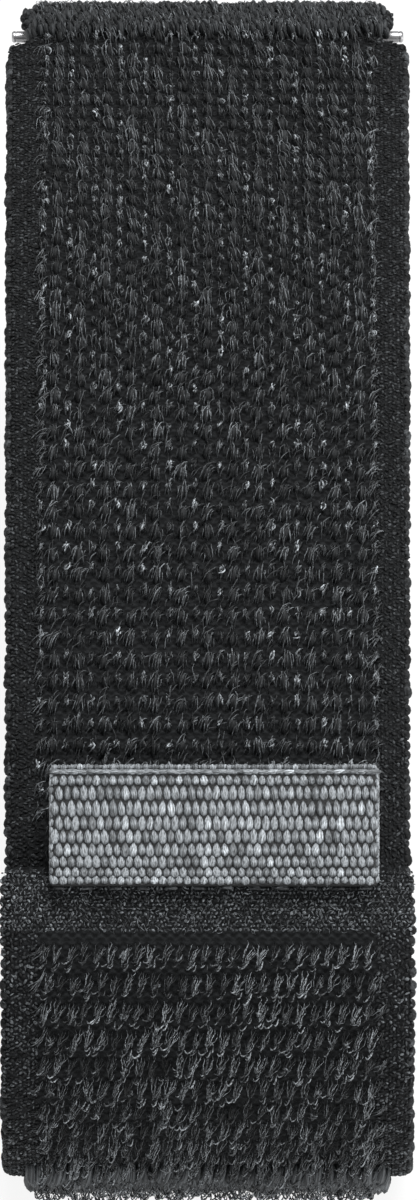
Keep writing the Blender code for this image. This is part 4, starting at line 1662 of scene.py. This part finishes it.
@dataclass
class PullTab:
    """The folded ribbon that is sewn to the hem, with its woven ribs of yarn."""

    loom: Loom
    half: float = 0.00972
    length: float = 0.0073
    thickness: float = 0.0009
    shift: float = 0.0004
    ribbon: float = 0.00036
    slope: float = math.radians(30.14)
    column_pitch: float = 0.00049
    rows: tuple[float, ...] = (0.34, 0.83, 1.5, 2.23, 3.06, 3.89, 4.8, 5.75, 6.5)
    rows_end: float = 6.9
    row_pitch: float = 0.83
    sunk: float = 0.00005
    set_back: float = 0.0004
    zone_start: float = -0.0004
    zone_end: float = 0.0011
    step: float = 0.0002

    def place(self, along: float, outward: float) -> Vector:
        """Gives a point of the tab in the side view, from along it and out of its face."""
        way = facing(self.slope)
        return joint_place("pull_tab_flip") + way * along + square(way) * outward

    def build(self) -> None:
        """Makes and hands in the ribbon and its weave."""
        high = -self.ribbon / 2
        low = -self.thickness - high
        centre = Vector((self.length - self.thickness / 2, (low + high) / 2))
        points = straight(Vector((self.set_back, low)), Vector((centre.x, low)), self.step)
        points += arc(centre, (high - low) / 2, -math.pi / 2, math.pi / 2, self.step)
        points += straight(Vector((centre.x, high)), Vector((0, high)), self.step)[1:]
        points.append(Vector((0, high)))
        core = Rail([Station(self.place(*p), self.half - 0.0001, self.ribbon) for p in points])
        # The ribbon's core carries the painted shade between its yarns.
        body = self.loom.piece("pull_tab_ribbon", strip_mesh("pull_tab_ribbon", core), RIBBON_PAINTED_SHADE_GROUND)
        self.finish(body, ["pull_tab"])
        self.weave()
        turn = bead_mesh("tab_edge_turn", (0.00016, 0.00026, 0.00022))
        pattern = Pattern(
            row_pitch=0.00048, columns=2, to_edges=1.0, variation=0.08, tip_spread=0.0, seed=63
        )
        sides = core.between(0.0002, core.length - 0.0003)
        self.finish(self.loom.lay("pull_tab_edges", sides, [turn], RIBBON_YARN_PAINTED_LIGHT, pattern))

    def weave(self) -> None:
        """Lays the rows of yarn on both faces and over the fold."""
        rows, under = [], []
        for past, mm, after in zip((-0.14, *self.rows), self.rows, (*self.rows[1:], self.rows_end)):
            stretch = (after - past) / 2 / self.row_pitch
            top = Station(self.place(mm / 1000, -self.sunk), self.half, 0, stretch=stretch)
            rows.append(top)
            if mm / 1000 > 2 * self.set_back:
                under.append(replace(top, point=self.place(mm / 1000, self.sunk - self.thickness)))
        base = Pattern(
            columns=round(2 * self.half / self.column_pitch) - 1, column_pitch=self.column_pitch,
            stagger=0.5, variation=0.1, spread=(0.00001, 0.00002, 0.00001), turn_spread=0.1,
            tip_spread=0.08, seed=61,
        )
        fold = replace(base, scale=(0.95, 1.0, 1.0), seed=62)
        cord = replace(base, scale=(0.62, 1.2, 0.8), turn=math.pi / 2, stagger=0.0, seed=64)
        drop = bead_mesh("drop", (0.00024, 0.00057, 0.00022), 2, 0.9, -0.8)
        oval = bead_mesh("oval", (0.00024, 0.0005, 0.00026), 2, 0.2, 0.2)
        for label, rail, shape, pattern in (
            ("weave", Rail(rows), drop, base),
            ("underside", Rail(under[::-1]), drop, base),
            ("fold", self.crest((24, -4, -32, -60), 0.42), oval, fold),
            ("cord", self.crest((79, 78), 1.0), oval, cord),
        ):
            self.finish(self.loom.lay(f"pull_tab_{label}", rail, [shape], RIBBON_YARN_PAINTED_LIGHT, pattern))

    def crest(self, angles: Sequence[float], stretch: float) -> Rail:
        """Gives places round the fold.

        Args:
            angles: Each place's angle up from the tab's own line, in degrees.
            stretch: How long the yarn there is for its shape.

        Returns:
            The rail of the places.
        """
        centre = Vector((self.length - self.thickness / 2, -self.thickness / 2))
        points = [centre + facing(math.radians(angle)) * self.thickness / 2 for angle in angles]
        return Rail([Station(self.place(*p), self.half, 0, stretch=stretch) for p in points])

    def finish(self, piece: bpy.types.Object, nodes: Sequence[str] = ()) -> None:
        """Shifts a piece to the tab's place across the band and hands it in.

        Args:
            piece: The piece.
            nodes: The solids that it replaces.
        """
        piece.data.transform(Matrix.Translation((self.shift, 0, 0)))
        ends = (self.zone_start, self.zone_end)
        zone = tuple(self.place(along, -self.thickness) for along in ends)
        self.loom.hand_in(piece, Slot.RIBBON, Body.FREE_END, Body.PULL_TAB, zone, nodes)


@dataclass
class HookPatch:
    """The hooks under the free end, on their backing."""

    HOOK: ClassVar[tuple] = (
        (0, -0.00005), (0.00002, 0.00012), (0.00008, 0.00026), (0.0002, 0.0003), (0.00028, 0.0002)
    )

    loom: Loom
    band: LongBand
    half: float = 0.0096
    backing: float = 0.00025
    outer_radius: float = 0.0135
    first_angle: float = math.radians(210)
    margin: float = 0.0012
    pitch: float = 0.00085
    step: float = 0.0004

    def build(self) -> None:
        """Makes and hands in the backing and its rows of hooks."""
        margin = self.margin / self.outer_radius
        ends = (self.first_angle - margin, self.band.tip_angle + margin)
        points = arc(self.band.bend_centre, self.outer_radius - self.backing / 2, *ends, self.step)
        core = Rail([Station(point, self.half, self.backing) for point in points])
        backing = strip_mesh("hook_patch_backing", core)
        self.finish(self.loom.piece("hook_patch_backing", backing, HOOK_PLASTIC), ["hook_patch"])
        inner = Rail(core.moved(-0.5).stations[::-1])
        hook = strand_mesh("hook", [Vector((0, *point)) for point in self.HOOK], 0.00007, 5, 0.8)
        pattern = Pattern(
            row_pitch=self.pitch, columns=22, column_pitch=self.pitch, stagger=0.5, variation=0.04,
            turn_spread=0.3, tip_spread=0.05, seed=71,
        )
        self.finish(self.loom.lay("hook_patch_hooks", inner, [hook], HOOK_PLASTIC, pattern))

    def finish(self, piece: bpy.types.Object, nodes: Sequence[str] = ()) -> None:
        """Hands in a piece of the patch, which bends with the free end."""
        zone = self.band.zone()
        self.loom.hand_in(piece, Slot.HOOKS, Body.LONG_BAND, Body.FREE_END, zone, nodes)


@dataclass
class Seam:
    """A line of stitches across a band."""

    loom: Loom
    name: str
    body: Body
    width: float
    finish: Finish = SEAM_THREAD
    pitch: float = 0.00165
    stitch: float = 0.0011
    thread: float = 0.00009

    def build(self, place: Vector, outward: Vector, shift: float = 0.0) -> None:
        """Makes and hands in the seam.

        Args:
            place: Where it lies on the cloth, in the side view.
            outward: The way out of the cloth there.
            shift: How far its middle is off the band's.
        """
        points = []
        for i in range(7):
            share = i / 6
            rise = self.thread * math.sin(math.pi * share) - self.thread / 3
            points.append(Vector((rise * 0.2, self.stitch * (share - 0.5), rise)))
        shape = strand_mesh("stitch", points, self.thread, 6, 0.6)
        along = square(-outward) * 0.00001
        rail = Rail([Station(place, 0.01, 0), Station(place + along, 0.01, 0)])
        pattern = Pattern(
            columns=round(self.width / self.pitch), column_pitch=self.pitch, variation=0.08,
            spread=(0.00004, 0.00004, 0.0), turn=math.pi / 2, turn_spread=0.06, tip_spread=0.0, seed=81,
        )
        name = self.name.replace("stitching", "stitches")
        made = self.loom.lay(name, rail, [shape], self.finish, pattern)
        made.data.transform(Matrix.Translation((shift, 0, 0)))
        self.loom.hand_in(made, Slot.THREAD, self.body, nodes=[self.name])


@dataclass
class SpringBar:
    """A quick-release bar: turned tips on the frame's own tube, lever and spring."""

    RIM: ClassVar[tuple] = (
        (0.0, 0.00012), (0.00004, 0.00005), (0.00012, 0.0), (0.00022, 0.0), (0.00025, 0.00003),
        (0.0003, 0.00003), (0.00033, 0.0),
    )

    loom: Loom
    name: str
    sliding_side: int
    tip_end: float = 0.0122
    tip_radius: float = 0.000365
    flange_radius: float = 0.0005
    flange_start: float = 0.01035
    fixed_flange: float = 0.0012
    sliding_flange: float = 0.0035
    spring_end: float = 0.00915
    spring_keep: float = 0.915

    def tip(self, label: str, side: int, body: Body, flange: float) -> None:
        """Turns a tip with a rounded end and a fine ring.

        Args:
            label: The node's last words.
            side: Which way along X it points.
            body: The body that it rides on.
            flange: How long the flange inside the tube is.
        """
        end, radius, start = self.tip_end, self.tip_radius, self.flange_start
        profile = [(end, 0.0), *((end - back, radius - inward) for back, inward in self.RIM)]
        profile += [(start, radius), (start, self.flange_radius)]
        profile += [(start - flange, self.flange_radius), (start - flange, 0.0)]
        name = f"{self.name}_{label}"
        mesh = turned_mesh(name, [(side * along, width) for along, width in profile])
        mesh.transform(Matrix.Translation((0, *joint_place(f"{self.name}_bar_spin"))))
        piece = self.loom.piece(f"{name}_turned", mesh, BAR_STEEL)
        self.loom.hand_in(piece, Slot.STEEL, body, nodes=[name])

    def build(self) -> None:
        """Turns both tips, polishes the nodes that stay and gives the spring its own mesh."""
        bar, release = Body(f"{self.name}_bar"), Body(f"{self.name}_release")
        self.tip("bar_fixed_tip", -self.sliding_side, bar, self.fixed_flange)
        self.tip("bar_sliding_tip", self.sliding_side, release, self.sliding_flange)
        for label, finish in (("bar_tube", BAR_STEEL), ("bar_lever", BAR_STEEL), ("bar_spring", WIRE_STEEL)):
            node = frame["nodes"][f"{self.name}_{label}"]
            node.data.materials.clear()
            node.data.materials.append(self.loom.material(finish))
        spring = frame["nodes"][f"{self.name}_bar_spring"]
        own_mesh(spring)


# The studio


@dataclass(frozen=True)
class Studio:
    """A pale floor, soft light and the camera at the photograph's angle."""

    WHITE: ClassVar[tuple] = (1.0, 1.0, 1.0, 1.0)
    LAMPS: ClassVar[tuple] = (
        ("top", (0.16, 0.1, 0.75), (0, 0, 0.02), 7.5),
        ("front", (0.55, -0.6, 0.12), (0, -0.02, 0.015), 5.5),
    )

    elevation: float = math.radians(42.8)
    distance: float = 1.12
    frame_height: float = 0.0719
    sensor: float = 36.0
    above_bend: float = 0.01961
    across: float = 0.00006
    floor_size: float = 6.0
    floor_grey: float = 0.82
    floor_glow: float = 1.02
    glow_share: float = 0.86
    lamp_size: float = 0.5
    fill: float = 0.45

    def camera(self, bend_centre: Vector) -> None:
        """Sets the camera up in front of and above the strap.

        Args:
            bend_centre: The bend's centre, which the view is measured from.
        """
        back = facing(math.pi - self.elevation)
        up = Vector((math.sin(self.elevation), math.cos(self.elevation)))
        place = bend_centre + up * self.above_bend + back * self.distance
        data = bpy.data.cameras.new("camera")
        data.sensor_width = self.sensor
        data.lens = self.sensor * self.distance / self.frame_height
        data.clip_start, data.clip_end = 0.1, 3 * self.distance
        made = new_object("camera", data)
        made.location = (self.across, *place)
        made.rotation_euler = (math.pi / 2 - self.elevation, 0, 0)
        bpy.context.scene.camera = made

    def floor(self) -> None:
        """Lays the floor, which shows white but keeps the strap's shadow."""
        shape = bmesh.new()
        bmesh.ops.create_grid(shape, x_segments=1, y_segments=1, size=self.floor_size / 2)
        mesh = bpy.data.meshes.new("floor")
        shape.to_mesh(mesh)
        shape.free()
        material = bpy.data.materials.new("pale_floor")
        material.use_nodes = True
        material.node_tree.nodes.clear()
        graph = Graph(material.node_tree)
        path = graph.node("ShaderNodeLightPath")
        rays = (graph.output(path, key) for key in ("Is Camera Ray", "Is Glossy Ray"))
        seen = graph.maths("MAXIMUM", *rays)
        matt = graph.value("ShaderNodeBsdfDiffuse", None, {"Color": (*[self.floor_grey] * 3, 1.0)})
        glow = {"Color": self.WHITE, "Strength": self.floor_glow}
        white = graph.value("ShaderNodeEmission", None, glow)
        mixed = graph.value("ShaderNodeMixShader", None, {0: seen * self.glow_share, 1: matt, 2: white})
        graph.node("ShaderNodeOutputMaterial", None, {"Surface": mixed})
        mesh.materials.append(material)
        floor = new_object("floor", mesh)

    def lamps(self) -> None:
        """Hangs the soft lamps."""
        for name, place, aim, power in self.LAMPS:
            data = bpy.data.lights.new(name, "AREA")
            data.shape = "SQUARE"
            data.size = self.lamp_size
            data.energy = power
            made = new_object(name, data)
            made.location = place
            made.rotation_euler = (Vector(aim) - Vector(place)).to_track_quat("-Z", "Y").to_euler()

    def world(self) -> None:
        """Fills the studio with even light, white where it is seen."""
        world = bpy.data.worlds.new("studio")
        bpy.context.scene.world = world
        world.use_nodes = True
        world.node_tree.nodes.clear()
        graph = Graph(world.node_tree)
        seen = graph.value("ShaderNodeLightPath", key="Is Camera Ray")
        glow = {"Color": self.WHITE, "Strength": seen * (1 - self.fill) + self.fill}
        back = graph.value("ShaderNodeBackground", None, glow)
        graph.node("ShaderNodeOutputWorld", None, {"Surface": back})

    def build(self, bend_centre: Vector) -> None:
        """Sets up the whole studio round the strap."""
        bpy.context.scene.view_settings.view_transform = "Standard"
        self.camera(bend_centre)
        self.floor()
        self.world()
        self.lamps()


def main() -> None:
    """Builds the strap piece by piece, then the studio."""
    logging.basicConfig(level=logging.INFO, format="%(message)s")
    loom = Loom()
    bend_centre = joint_place("loop_size")
    ShortBand(loom, YarnShapes(), bend_centre).build()
    long_band = LongBand(loom, YarnShapes(), bend_centre)
    long_band.build()
    PullTab(loom).build()
    HookPatch(loom, long_band).build()
    hem_out = facing(long_band.seam_angle)
    hem_face = bend_centre + hem_out * (long_band.bend_radius - long_band.pile)
    seam = Seam(loom, "tab_stitching", Body.FREE_END, 0.019, TAB_PAINTED_SHEEN_THREAD, stitch=0.0007)
    seam.build(hem_face, hem_out, 0.0003)
    SpringBar(loom, "front", 1).build()
    SpringBar(loom, "rear", -1).build()
    loom.clear()
    Studio().build(bend_centre)


if __name__ == "__main__":
    main()
